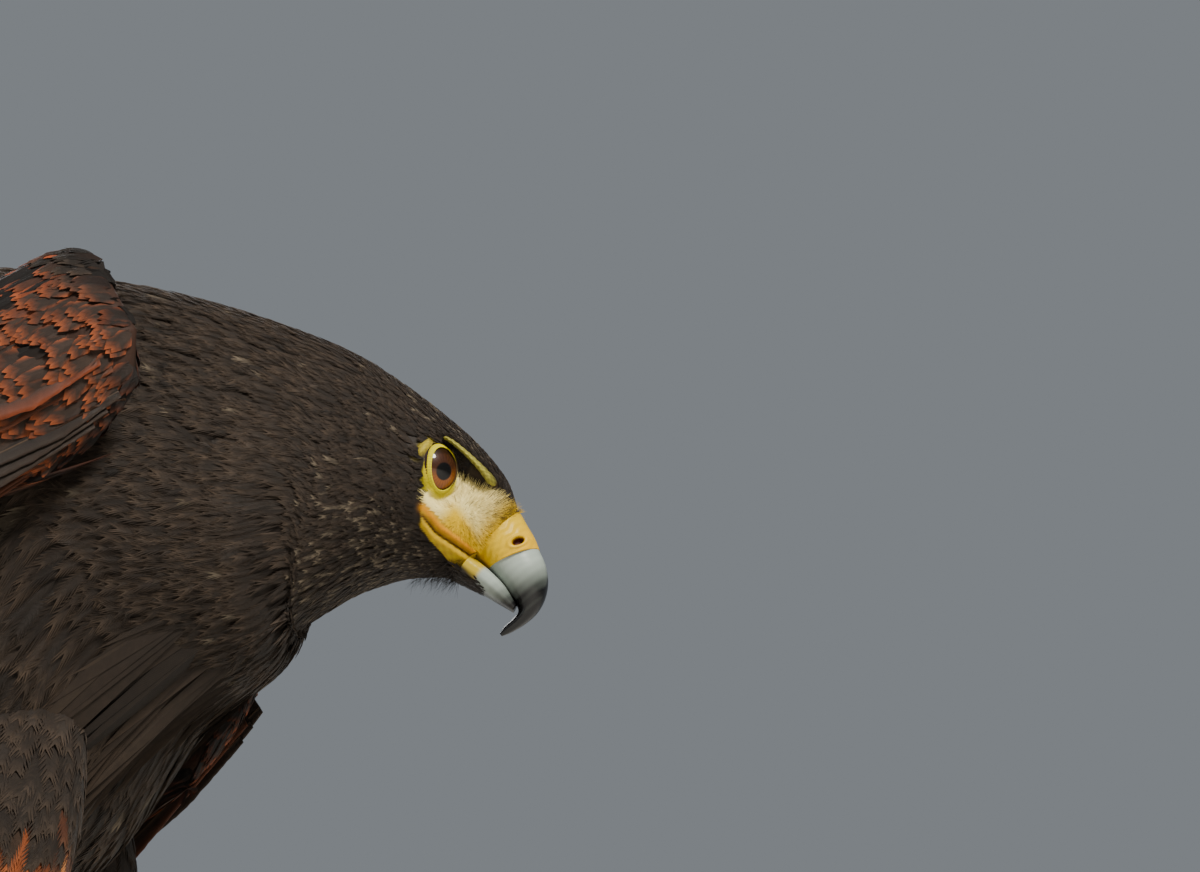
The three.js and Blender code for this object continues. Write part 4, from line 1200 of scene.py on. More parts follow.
# %% [markdown]
# Long feathers: a shaft with a stiff vane on each side, narrower ahead of the shaft.
# Each is a thin closed sheet with its own thickness, laid out flat on the wing's or
# tail's sheet and carried to space with it, so that the tiers keep their order.

# %% One long feather
SHAFT = -0.28  # where the shaft lies between the two rims, at -1 and 1
ACROSS = np.array([-1, -0.82, -0.55, -0.34, SHAFT, -0.22, 0.1, 0.5, 0.82, 1])
BROAD = [(0, 0.35), (0.35, 1), (0.86, 0.94), (0.96, 0.62), (1, 0.2)]
POINTED = [(0, 0.3), (0.25, 0.98), (0.6, 0.94), (0.88, 0.55), (0.97, 0.28), (1, 0.1)]
SHORT = [(0, 0.45), (0.4, 1), (0.8, 0.85), (0.95, 0.5), (1, 0.2)]
VANE = 0.36  # thickness
LAYER = 0.88  # step from one feather of a tier to the next


def quill(sheet, spec, rng, rows=44):
    """One long feather as a closed grid, and where each point lies along and across it."""
    t = np.linspace(0, 1, rows)
    heading = np.radians(spec["angle"] + spec.get("bend", 0) * t)
    stride = spec["length"] / (rows - 1)
    p, q = spec["p"] + run(np.cos(heading), stride), spec["q"] + run(np.sin(heading), stride)
    half = through(spec.get("shape", BROAD), t) * spec["width"] / 2
    frayed = 1 - 0.05 * rng.random((rows, 1)) * (np.abs(ACROSS) > 0.9)
    for split in rng.uniform(0.3, 0.95, 2):
        frayed = frayed - 0.16 * (np.abs(t - split) < 0.6 / rows)[:, None] * (ACROSS > 0.9)
    c = ACROSS[None] * frayed
    pp = p[:, None] - np.sin(heading)[:, None] * half[:, None] * c
    qq = q[:, None] + np.cos(heading)[:, None] * half[:, None] * c
    rise = -spec.get("tilt", 0.35) * c + 0.10 * (1 - c**2) + spec["h"]
    shaft = 0.26 * (np.abs(ACROSS - SHAFT) < 0.02) * (1 - 0.8 * t[:, None])
    edge = VANE / 2 * np.where(np.abs(ACROSS) > 0.9, 0.35, 1)
    top = sheet(pp, qq, rise + edge + shaft)
    under = sheet(pp, qq, rise - edge - shaft * 0.6)[:, ::-1]
    ring = np.concatenate([ACROSS, ACROSS[::-1]])
    along = np.concatenate([np.repeat(t, len(ring)), [0, 1]])
    cross = np.concatenate([np.tile(ring, rows), [0, 0]])
    return closed_grid(np.concatenate([top, under], 1)), along, cross


def quill_piece(name, sheet, specs, paint, slot, seed, *nodes):
    """A wing's or the tail's long feathers as one piece."""
    rng = np.random.default_rng(seed)
    parts, tints, lays, bakes = [], [], [], []
    for number, spec in enumerate(specs):
        part, t, c = quill(sheet, spec, rng)
        wave = rng.normal(0, 1, 60)[(t * 59).astype(int)]
        shade = (1 + 0.10 * rng.normal()) * (1 + 0.05 * wave)
        spot = np.array([0.01 + 0.98 * (number + 0.5) / len(specs), 0.5])
        parts.append(part)
        tints.append(np.clip(paint(spec, t, c) * shade[:, None], 0.001, 1))
        lays.append(np.stack([c * spec["width"] * 0.05, t * spec["length"] * 0.1], -1))
        bakes.append(spot + bake_patch(c, t))
    points, faces = gathered(parts)
    paint, lay, bake = (np.concatenate(v) for v in (tints, lays, bakes))
    obj = mesh_piece(name, points, faces, FLIGHT_FEATHERS, paint, lay, bake)
    print(f"{name}: {len(specs)} long feathers, {2 * len(faces[0]) + len(faces[1])} triangles")
    finish_piece(obj, slot, *nodes)


# %% [markdown]
# A wing's long feathers lie in tiers: primaries and secondaries undermost, then the
# greater coverts that hide their roots, the medians over those, the little thumb
# feathers at the wrist and the scapulars that close the gap to the back.


# %% Tiers of wing feathers
def flight_specs(elbow):
    """Primaries, secondaries and tertials, from the tip of the wing inwards."""
    specs = []
    for i in range(10):
        t = i / 9
        length = 272 - 82 * max(0, (t - 0.33) / 0.67) - 78 * max(0, (0.33 - t) / 0.33)
        specs.append(dict(p=mix(67, 14, t), q=mix(5, 12, t), angle=mix(-2, 8, t), bend=mix(5, 3, t)))
        specs[-1].update(length=length, width=mix(24, 31, t), shape=POINTED, kind="primary")
    for i in range(10):
        t = i / 9
        specs.append(dict(p=mix(10, elbow[0] - 6, t), q=mix(14, elbow[1], t), angle=mix(9, 17, t), bend=3))
        specs[-1].update(length=mix(186, 148, t), width=mix(33, 35, t), kind="secondary")
    for i in range(3):
        t = (i + 1) / 3
        specs.append(dict(p=mix(elbow[0] - 6, elbow[0] - 14, t), q=elbow[1] + 17 * t))
        specs[-1].update(angle=mix(17, 19, t), bend=2, length=mix(140, 104, t), width=34, kind="tertial")
    for i, spec in enumerate(specs):
        spec["h"] = -10 + LAYER * i
    return specs


def covert_specs(side, flight):
    """Greater and median coverts over the flight feathers, thumb feathers and scapulars."""
    w = WINGS[side]
    elbow, reach = w["elbow"], w["reach"]
    specs = []
    for i, spec in enumerate(flight[10:20]):
        base = dict(q=spec["q"], angle=spec["angle"], shape=SHORT, kind="greater")
        specs.append(dict(base, p=spec["p"] + 2, h=spec["h"] + 4.6, length=84, width=23))
        if i % 2 == 0:
            median = dict(base, p=spec["p"] + 4, q=spec["q"] + 2, h=spec["h"] + 7.4, kind="median")
            specs.append(dict(median, length=52, width=24))
    tuck = 3.4 if side < 0 else 0.0  # the near wing is folded tighter over its hand
    for i in range(4):
        specs.append(dict(p=46 - 9 * i, q=1 + 1.5 * i, h=-2.6 - tuck + LAYER * i, angle=i - 1))
        specs[-1].update(length=88, width=17, shape=SHORT, kind="greater")
    for i in range(3):
        specs.append(dict(p=24 - 5 * i, q=2 + 2 * i, h=1.2 - tuck + LAYER * i, angle=1))
        specs[-1].update(length=72 - 13 * i, width=13, shape=SHORT, kind="alula")
    for i in range(5):
        t = i / 4
        q = mix(elbow[1] + 6, reach - 6, t)
        h = float(arm_level(side, q)) + 8.5 + 1.2 * i
        specs.append(dict(p=mix(34, 24, t), q=q, h=h, angle=mix(20, 16, t)))
        specs[-1].update(length=mix(92, 112, t), width=26, shape=SHORT, kind="scapular")
    return specs


for side in (-1, 1):
    flight = flight_specs(WINGS[side]["elbow"])
    print(NAMES[side], "wing:", len(flight), "flight feathers,", len(covert_specs(side, flight)), "coverts")

# %% [markdown]
# Flight feathers are plain and dark. Coverts carry a rufous rim that is widest on the
# medians, and on every feather the shaft is a little paler than the vane.

# %% Wing feathers
WING_TONES = {
    "primary": (colour(34, 27, 24), colour(46, 37, 32)),
    "secondary": (colour(39, 30, 26), colour(60, 48, 40)),
    "tertial": (colour(42, 33, 27), colour(72, 58, 46)),
    "greater": (colour(38, 28, 22), colour(78, 40, 22)),
    "median": (colour(42, 28, 21), colour(106, 48, 22)),
    "alula": (colour(30, 24, 20), colour(44, 34, 27)),
    "scapular": (colour(40, 31, 24), colour(74, 60, 46)),
}


def wing_paint(spec, t, c):
    base, rim = WING_TONES[spec["kind"]]
    edge = ease(np.maximum(np.abs(c), 1.6 * t - 0.62), 0.62, 1.0)[:, None]
    paint = mix(base, rim, edge * 0.85)
    shaft = (np.abs(c - SHAFT) < 0.03)[:, None]
    return np.where(shaft, mix(paint, colour(96, 76, 58), 0.5), paint)


for side in (-1, 1):
    name = NAMES[side]
    flight = flight_specs(WINGS[side]["elbow"])
    quill_piece(f"flight_{name}", sheets[side], flight, wing_paint, "plumage", 41 + side, f"wing_{name}")
    coverts = covert_specs(side, flight)
    quill_piece(f"coverts_{name}", sheets[side], coverts, wing_paint, "shoulder", 44 + side)

# %% [markdown]
# Twelve tail feathers, black between a white root and a white end band, with white
# coverts over and under their roots.


# %% Tail feathers
def tail_specs():
    specs = []
    for side in (-1, 1):
        for i in range(6):
            t = i / 5
            layer = 2 * i + (side > 0)
            specs.append(dict(p=12, q=side * mix(3, 11, t), h=4 - layer * LAYER, tilt=0, kind="tail"))
            specs[-1].update(angle=side * mix(1.2, 10.5, t), length=191 - 10 * t, width=mix(31, 27, t))
    for level, push, reach in ((4.2, 1, 78), (-5.9, -1, 96)):
        for i in range(5):
            t = i / 4 - 0.5
            layer = 2 * (2.5 - abs(i - 2)) - (t > 0)
            spec = dict(p=4, q=20 * t, h=level + push * layer * LAYER, angle=20 * t, tilt=0, shape=SHORT)
            specs.append(dict(spec, length=reach * (1 - 0.35 * abs(t)), width=21, kind="covert"))
    return specs


def tail_paint(spec, t, c):
    if spec["kind"] == "covert":
        return mix(WHITE * 0.9, WHITE, ease(t, 0.2, 1)[:, None])
    black, white = colour(36, 30, 27), colour(222, 212, 194)
    ragged = t + 0.012 * np.sin(23 * c)
    root, band = ease(ragged, 0.30, 0.20), ease(ragged, 0.915, 0.935)
    return mix(black, white, np.maximum(root, band)[:, None])


quill_piece("tail_feathers", tail_sheet, tail_specs(), tail_paint, "tail", 51, "tail")

# %% [markdown]
# Shanks and palms. A hawk's shank wears a row of broad plates in front. They are
# modelled into the surface as steps that overlap downwards, and pebbles fill the rest.

# %% Shanks and palms
STRIDES = {-1: 0, 1: -STRIDE}
HEEL, ANKLE, PALM = np.array([-36, 41, 91.0]), np.array([-16, 41, 13.0]), np.array([-15, 41, 8.0])
PALM_REACH = [10, 8.5, 8]
SHANK_GIRTH = [(0, 6.6), (0.12, 5.6), (0.5, 4.8), (0.85, 5.2), (1, 6.4)]
SHANK_PLATES = 13
UP = np.array([0, 0, 1.0])


def leg_place(side, point):
    return np.array([point[0] + STRIDES[side], side * point[1], point[2]])


def above_floor(place):
    place[..., 2] = np.maximum(place[..., 2], 0)
    return place


def plates(t, angle, count, middle, width):
    """Steps of overlapping plates across the side that faces the middle angle."""
    over = ease(np.cos(angle - middle), math.cos(width), math.cos(width) + 0.35)
    step = (t * count) % 1
    plate = 0.42 * step**0.6 - 0.30 * ease(step, 0.90, 1.0)
    return over * plate + (1 - over) * 0.12 * np.sin(t * 260) * np.sin(9 * angle)


def shank_grid(side):
    start, end = leg_place(side, HEEL), leg_place(side, ANKLE)
    ahead = unit(end - start)
    forward = unit(np.cross([0, 1.0, 0], ahead))
    if forward[0] < 0:
        forward = -forward
    t, angle = rings(np.linspace(-0.10, 1.06, 190), 64)
    radius = through(SHANK_GIRTH, t) + plates(t, angle, SHANK_PLATES, 0, 1.15)
    shut = np.sqrt(np.clip(np.minimum((t + 0.10) / 0.05, (1.06 - t) / 0.05), 0, 1))[..., None]
    fore, aside = (radius * 1.08 * np.cos(angle))[..., None], (radius * 0.95 * np.sin(angle))[..., None]
    out = forward * fore + np.array([0, 1.0, 0]) * aside
    return start + (end - start) * t[..., None] + out * np.maximum(shut, 0.02)


def palm_grid(side):
    high, angle = rings(np.linspace(-0.5 * np.pi, 0.5 * np.pi, 34)[1:-1], 48)
    pebble = 1 + 0.02 * np.sin(14 * angle) * np.sin(22 * high)
    shape = np.stack([np.cos(high) * np.cos(angle), np.cos(high) * np.sin(angle), np.sin(high)], -1)
    return above_floor(leg_place(side, PALM) + shape * PALM_REACH * pebble[..., None])


print("a shank is", np.linalg.norm(HEEL - ANKLE).round(1), "mm long")

# %% [markdown]
# Toes have plates above and soft pads below, which swell between the joints. Three
# point forward and one back, and all rest on the floor along their whole length.

# %% Toes
# heading in degrees outward from ahead, length, girth at the root, pads, reach of the claw
TOES = {
    "inner": (-34, 40, 5.4, 3, 13.5),
    "middle": (2, 54, 5.0, 4, 12),
    "outer": (36, 43, 4.7, 3, 11),
    "hind": (172, 33, 5.6, 2, 14.5),
}
PLATE_LENGTH = 3.4


def toe_axes(side, heading):
    """Along a toe and across it, level with the floor."""
    a = math.radians(heading)
    along = np.array([math.cos(a), side * math.sin(a), 0])
    return along, np.cross(UP, along)


def toe_girth(toe, t):
    return mix(toe[2], 0.72 * toe[2], t)


def toe_grid(side, toe):
    heading, length, _, pads, _ = toe
    along, across = toe_axes(side, heading)
    t, angle = rings(np.linspace(0, 1, 120), 48)
    r = toe_girth(toe, t) - 0.5 * np.cos(2 * np.pi * pads * t)
    r = r + plates(t, angle, round(length / PLATE_LENGTH), 0.5 * np.pi, 1.1)
    shut = np.sqrt(np.clip((1.02 - t) / 0.07, 0.0, 1)) * np.sqrt(np.clip((t + 0.01) / 0.02, 0, 1))
    middle = leg_place(side, PALM) * (1, 1, 0) + along * (t * length)[..., None]
    middle[..., 2] = toe_girth(toe, t) - 0.7
    place = middle + across * (1.05 * r * shut * np.cos(angle))[..., None]
    place[..., 2] += r * shut * np.sin(angle)
    return above_floor(place)


print("plates on a toe:", {name: round(toe[1] / PLATE_LENGTH) for name, toe in TOES.items()})

# %% [markdown]
# A claw is a tapering hook. It leaves its toe upwards, turns over in an arc and ends
# in a point on the floor, and its underside is pinched to two edges.

# %% Claws
CLAW_START, CLAW_END = 34, -58  # heading above the floor in degrees, at root and point


def claw_grid(side, toe):
    heading, length, girth, pads, hook = toe
    along, across = toe_axes(side, heading)
    end = 0.72 * girth - 0.5 * math.cos(2 * math.pi * pads)
    t = np.linspace(0, 1, 40)
    turn = np.radians(mix(CLAW_START, CLAW_END, t))
    stride = hook * math.radians(CLAW_START - CLAW_END) / (len(t) - 1)
    out, high = length - 2.5 + run(np.cos(turn), stride), end + run(np.sin(turn), stride)
    r = np.maximum(0.3, 0.72 * end * (1 - t**1.4))[:, None]
    angle = 2 * np.pi * np.arange(28) / 28
    normal = -np.sin(turn)[:, None] * along + np.cos(turn)[:, None] * UP
    middle = leg_place(side, PALM) * (1, 1, 0) + out[:, None] * along + high[:, None] * UP
    keel = 1 - 0.22 * (np.sin(angle) < -0.3)
    lift, aside = (r * np.sin(angle))[..., None], (0.8 * r * np.cos(angle) * keel)[..., None]
    return above_floor(middle[:, None] + lift * normal[:, None] + aside * across)


print("reach of the claws:", {name: toe[4] for name, toe in TOES.items()})

# %% [markdown]
# Shank, palm and toes of a leg are joined to one skin, as they are on the bird. The
# claws stay apart, because horn doesn't melt into scales.


# %% Legs
def leg_paint(points):
    yellow, deep = colour(206, 172, 20), colour(166, 128, 14)
    speckle = 0.5 + 0.5 * np.sin(points @ [1.9, 2.3, 2.9]) * np.sin(points @ [2.7, -1.3, 1.1])
    return mix(yellow, deep, speckle[:, None] * 0.55)


for side in (-1, 1):
    name = NAMES[side]
    grids = [shank_grid(side), palm_grid(side)] + [toe_grid(side, toe) for toe in TOES.values()]
    nodes = [f"shank_{name}", f"foot_{name}"] + [f"toe_{t}_{name}" for t in TOES]
    leg = joined(f"leg_{name}", [closed_grid(grid) for grid in grids], LEG_SCALES, leg_paint)
    finish_piece(leg, "scales", *nodes)
    claws = gathered([closed_grid(claw_grid(side, toe)) for toe in TOES.values()])
    piece = mesh_piece(f"claws_{name}", *claws, CLAW_HORN, colour(34, 30, 30))
    finish_piece(piece, "claw", *[f"claw_{t}_{name}" for t in TOES])

# %% [markdown]
# The bill is made of three lofts through a few cross-sections in the head's own
# frame: the cere, the upper horn and the lower one. A row holds the top and the
# bottom of a section as (x, z), then its half width.

# %% Cross-sections of the bill
CERE_ROWS = [
    (22.6, 6.3, 20.4, -12.2, 8.8), (26.2, 4.7, 22.2, -12.2, 8.5),
    (30.2, 3.0, 23.9, -12.3, 8.0), (33.4, 1.1, 25.4, -12.5, 7.4),
]
UPPER_ROWS = [
    (33.0, 1.2, 25.2, -12.5, 7.3), (37.4, -1.3, 30.2, -13.2, 6.9), (41.0, -4.7, 34.6, -14.5, 6.0),
    (43.3, -9.0, 38.0, -15.6, 4.8), (44.1, -13.6, 39.7, -17.1, 3.6), (43.4, -18.2, 39.7, -19.6, 2.5),
    (41.8, -22.6, 39.2, -22.7, 1.5), (40.3, -25.3, 39.3, -25.0, 0.5),
]
LOWER_ROWS = [
    (20.3, -12.5, 20.0, -20.0, 9.1), (26.0, -12.6, 27.0, -18.8, 7.5),
    (32.2, -13.4, 33.0, -18.3, 5.0), (38.0, -15.4, 38.4, -17.8, 2.4),
]
UPPER_POWER, LOWER_POWER = 2.1, 2.4  # the lower bill is squarer


def section(rows, s, angle, power):
    """A loft through rows, in the head's frame."""
    r = spline(rows, s)
    c, up = rounded(angle, power)
    middle = np.stack([(r[..., 0] + r[..., 2]) / 2, 0 * s, (r[..., 1] + r[..., 3]) / 2], -1)
    half = np.stack([(r[..., 0] - r[..., 2]) / 2, 0 * s, (r[..., 1] - r[..., 3]) / 2], -1)
    return middle + half * up[..., None] + np.array([0, 1.0, 0]) * (r[..., 4] * c)[..., None]


def bill_grid(rows, steps, around, power):
    return section(rows, *rings(np.linspace(0, len(rows) - 1, steps), around), power)


print("the hook ends at", UPPER_ROWS[-1][:2], "in the head's frame")

# %% [markdown]
# Under the lower bill small feathers run out for a third of its length. Its underside
# serves as a form, so they lie on it like the rest of the coat.


# %% Feathers under the chin
def chin_point(s, angle):
    """The underside of the lower bill as a form; angle 0 is its keel."""
    return from_head(section(LOWER_ROWS, s, angle - np.pi / 2, LOWER_POWER))


def chin_coat():
    rng = np.random.default_rng(16)
    chin = Form(chin_point, 0, 2, 49, 96)
    under = np.cos(chin.angle) > 0.45 + 0.3 * ease(chin.s, 0, 1.6)
    s, angle = sow(chin, lambda s, angle: 0.75 + 0 * s, rng, (under & (chin.s < 1.6)) * 1.0)
    lie, same = -chin.at(s, angle, "along"), np.ones(len(s))
    tones = CHOCOLATE * 0.8 + 0 * s[:, None], PALE_RIM * 0.7 + 0 * s[:, None]
    size, depth = (3.6 * same, 0.9 * same), 0.15 * same
    lay_feathers("coat_chin", chin, s, angle, lie, size, depth, tones, "plumage", rng, FINE, 0.10)


chin_coat()

# %% [markdown]
# The cere is soft orange-yellow skin over the root of the upper bill. Its grid is
# fine enough to take the nostrils and their rims as real relief.

# %% Cere
NOSTRIL = (28.2, -2.0)


def cere_piece():
    grid = bill_grid(CERE_ROWS, 90, 160, UPPER_POWER)
    x, z = grid[..., 0], grid[..., 2]
    ring = np.hypot((x - NOSTRIL[0] - 0.3 * (z - NOSTRIL[1])) / 1.25, (z - NOSTRIL[1]) / 2.0)
    side = np.sign(grid[..., 1])
    push = -2.2 * ease(ring, 1.0, 0.55) + 0.4 * np.exp(-(((ring - 1.35) / 0.3) ** 2))
    wrinkle = 0.10 * np.sin(x * 3.1 + 1.2 * np.sin(z * 1.3)) * ease(ring, 1.4, 2.0)
    swell = 0.7 * ease(x, 33.5, 30.0)
    grid[..., 1] += side * (push + wrinkle + swell) * ease(np.abs(grid[..., 1]), 2.0, 4.5)
    points, faces = closed_grid(from_head(grid))
    hole = np.concatenate([ease(ring, 1.0, 0.7).ravel(), [0, 0]])[:, None]
    tone = np.concatenate([ease(x, 24, 33).ravel(), [0, 1]])[:, None]
    paint = mix(mix(YELLOW, colour(192, 148, 0), tone), colour(70, 20, 4), hole)
    finish_piece(mesh_piece("cere_skin", points, faces, CERE_SKIN, paint), "cere", "cere")
    print("cere:", len(points), "points, of them in the nostrils:", int((hole > 0.5).sum()))


cere_piece()

# %% [markdown]
# Horn pales at its root and blackens at the hook, with faint lines of growth between.
# The lower half shows a yellow root, and its keel is painted dark for the feathers there and as painted shade
# under the bill.


# %% Horn of the bill
def horn_piece(name, rows, steps, power, tones, *nodes):
    grid = bill_grid(rows, steps, 96, power)
    lines = 0.06 * np.sin(np.arange(steps)[:, None] * 0.9) * np.abs(np.cos(2 * np.pi * np.arange(96) / 96))
    grid[..., 1] *= 1 + 0.02 * lines
    points, faces = closed_grid(from_head(grid))
    head = to_head(points)
    way = head[:, 0] - 0.55 * head[:, 2]
    ridge = ease(np.abs(head[:, 1]), 3.2, 0.6)  # darker along the ridge and the keel
    growth = 0.03 * np.sin(2.6 * way + 0.8 * head[:, 2])
    t = np.clip(ease(way, *tones) + 0.22 * ridge + growth, 0, 1)[:, None]
    paint = mix(colour(136, 146, 138), colour(6, 6, 7), t)
    if name == "bill_lower_horn":
        paint = mix(paint, colour(156, 134, 26), ease(head[:, 0], 26.0, 24.2)[:, None])
        # the keel is painted dark for the feathers that reach up to here, and as painted shade under the bill
        keel = ease(head[:, 2] + 0.12 * (head[:, 0] - 20), -16.6, -18.2)[:, None]  # feathered up to here
        paint = mix(paint, CHOCOLATE, keel)
    finish_piece(mesh_piece(name, points, faces, HORN, np.clip(paint, 0.001, 1)), "horn", *nodes)
    print(f"{name}: {len(points)} points")


horn_piece("bill_upper_horn", UPPER_ROWS, 150, UPPER_POWER, (35, 47), "bill_upper")
horn_piece("bill_lower_horn", LOWER_ROWS, 90, LOWER_POWER, (36, 47), "bill_lower")

# %% [markdown]
# Eyes. The ball is dark glass with a brown iris around a black pupil, painted by the
# angle from its axis, and a bead of clear coat gives the wet glint. It sits back in
# the head.

# %% Eyeballs
PUPIL = 2.6  # radius


def eye_piece(side):
    axis, up, across = eye_axes(side, GAZE)
    away, turn = rings(np.linspace(0, np.pi, 92)[1:-1], 72)
    shape = (
        axis * np.cos(away)[..., None]
        + up * (np.sin(away) * np.sin(turn))[..., None]
        + across * (np.sin(away) * np.cos(turn))[..., None]
    )
    grid = from_head(eye_place(side) + shape * EYE_RADIUS)
    points, faces = closed_grid(grid)
    ring = np.concatenate([(EYE_RADIUS * np.sin(away)).ravel(), [0, 0]])
    turned = np.concatenate([turn.ravel(), [0, 0]])
    low = ease(np.sin(turned), 0.5, -0.8)[:, None]  # brighter below, where the light comes in
    iris = mix(colour(46, 25, 14), colour(112, 62, 14), low)
    iris = iris * (1 + 0.25 * np.sin(turned * 37) * np.sin(turned * 11))[:, None]
    iris = mix(iris, colour(30, 16, 8), ease(ring, 4.6, 5.6)[:, None])
    paint = mix(colour(4, 3, 3) + 0 * iris, iris, ease(ring, PUPIL - 0.25, PUPIL + 0.15)[:, None])
    piece = mesh_piece(f"eyeball_{NAMES[side]}", points, faces, EYE_GLOSS, np.clip(paint, 0.001, 1))
    finish_piece(piece, "eye", f"eye_{NAMES[side]}")
    print(f"eyeball_{NAMES[side]}: {len(points)} points")


print("an eye is", 2 * EYE_RADIUS, "mm across, its pupil", 2 * PUPIL)

# %% [markdown]
# The lids are one ring of beaded skin that closes round the ball. A section of a few
# points is swept along the oval of the opening, at the height of the seat, so that
# the ring lies on the skin all the way round.

# %% Lids, and both eyes put in
# distance out from the crest's ring, and height over its bed
LID_PROFILE = np.array(
    [
        (-0.34, -0.20), (-0.37, 0.20), (-0.25, 0.44), (0.00, 0.54), (0.25, 0.46),
        (0.46, 0.28), (0.64, 0.02), (0.76, -0.50), (0.36, -1.10), (-0.18, -0.90),
    ]
)
LID_AROUND, LID_STEPS = 240, 40


def lid_piece(side):
    axis, up, across = eye_axes(side)
    around, steps = LID_AROUND, LID_STEPS
    turn = 2 * np.pi * np.arange(around) / around
    shut = np.vstack([LID_PROFILE, LID_PROFILE[:1]])
    profile = spline(shut, np.linspace(0, len(LID_PROFILE), steps + 1)[:-1])
    d, over = profile[:, 0][None], profile[:, 1][None]
    bead = 0.05 * np.sin(turn * 52)[:, None] * ease(d, -0.37, -0.2) * ease(d, 0.6, 0.3)
    fold = -0.10 * np.exp(-(((d - 0.34) / 0.1) ** 2)) * (over > 0)
    high, wide = (LID_HIGH + d) * np.sin(turn)[:, None], (LID_WIDE + d) * np.cos(turn)[:, None]
    out = lid_level(np.hypot(high, wide)) + over + bead + fold
    grid = eye_place(side) + axis * out[..., None] + up * high[..., None] + across * wide[..., None]
    faces = grid_faces(around + 1, steps) % (around * steps)
    points = from_head(grid.reshape(-1, 3))
    if face_inward(points, faces, points.reshape(around, steps, 3).mean(1)[faces[:, 0] // steps]):
        faces = faces[:, ::-1]
    inner = np.tile(ease(d, -0.28, -0.36).ravel(), around)[:, None]
    paint = mix(colour(176, 164, 4), colour(44, 34, 12), inner)
    paint = paint * (1 + 0.07 * np.repeat(np.sin(turn * 52), steps))[:, None]
    place = to_head(points)
    shaded = ease(place[:, 0] + 0.6 * place[:, 2], 2.2, 4.6)[:, None]  # in front, under the brow
    paint = mix(paint, colour(56, 42, 22), shaded)
    finish_piece(mesh_piece(f"lids_{NAMES[side]}", points, faces, BARE_SKIN, paint), "cere")
    print(f"lids_{NAMES[side]}: {len(points)} points")


for side in (-1, 1):
    eye_piece(side)
    lid_piece(side)

# %% [markdown]
# The brow is a shelf of bone under skin, which gives a hawk its stern look. It is a
# closed tube over the eye, bare and yellow on its edge, feathered on top.

# %% Brow shelves
# place in the head's frame, then half width and half height
BROW = [
    (-5.4, 18.0, 7.2, 3.0, 0.5),
    (-2.5, 18.2, 7.6, 4.0, 0.6),
    (2.4, 16.9, 7.6, 4.4, 0.75),
    (8.2, 14.4, 7.2, 4.0, 1.0),
    (13.6, 10.9, 6.4, 2.8, 1.6),
]


def tube_grid(path, wide, high, across, rows=90, around=36):
    """A closed tube in the head's frame along a path, wide across and high upwards."""
    s = np.linspace(0, len(path) - 1, rows)
    place = spline(path, s)
    angle = 2 * np.pi * np.arange(around) / around
    ahead = unit(np.gradient(place, axis=0))
    up = unit(np.cross(ahead, across))
    shut = np.sqrt(np.clip(np.minimum(s / 0.35, (len(path) - 1 - s) / 0.35), 0.01, 1))
    wide, high = (spline(v, s)[:, 0] * shut for v in (wide, high))
    side = np.broadcast_to(across, place.shape)
    return (
        place[:, None]
        + side[:, None] * (wide[:, None] * np.cos(angle))[..., None]
        + up[:, None] * (high[:, None] * np.sin(angle))[..., None]
    )


for side in (-1, 1):
    across = unit(np.array([0, side, -0.22]))
    path = [(r[0], side * r[1], r[2]) for r in BROW]
    grid = tube_grid(path, [r[3] for r in BROW], [r[4] for r in BROW], across)
    wrinkles = 0.10 * np.sin(3.3 * grid[..., :1] + 2 * grid[..., 2:])
    grid = grid + wrinkles * np.array([0, side, 0.4])
    points, faces = closed_grid(from_head(grid))
    place = to_head(points)
    edge = near_line([(r[0], r[2] - 0.5 * r[4]) for r in BROW], place[:, 0], place[:, 2], 1.5)[:, None]
    pores = (0.5 + 0.5 * np.sin(4.1 * place[:, 0]) * np.sin(5.3 * place[:, 2]))[:, None]
    paint = mix(CHOCOLATE * 0.8, mix(colour(144, 138, 54), colour(104, 98, 40), pores), edge)
    finish_piece(mesh_piece(f"brow_{NAMES[side]}", points, faces, BARE_SKIN, paint), "cere")
    print(f"brow_{NAMES[side]}: {len(points)} points")

# %% [markdown]
# Bristles: stiff little shafts without barbs, round the bill and under the chin. A
# small tree of Geometry Nodes sets one tapering shaft on each root. The roots are a
# mesh of points, and each carries its own turn, size and colour as attributes.


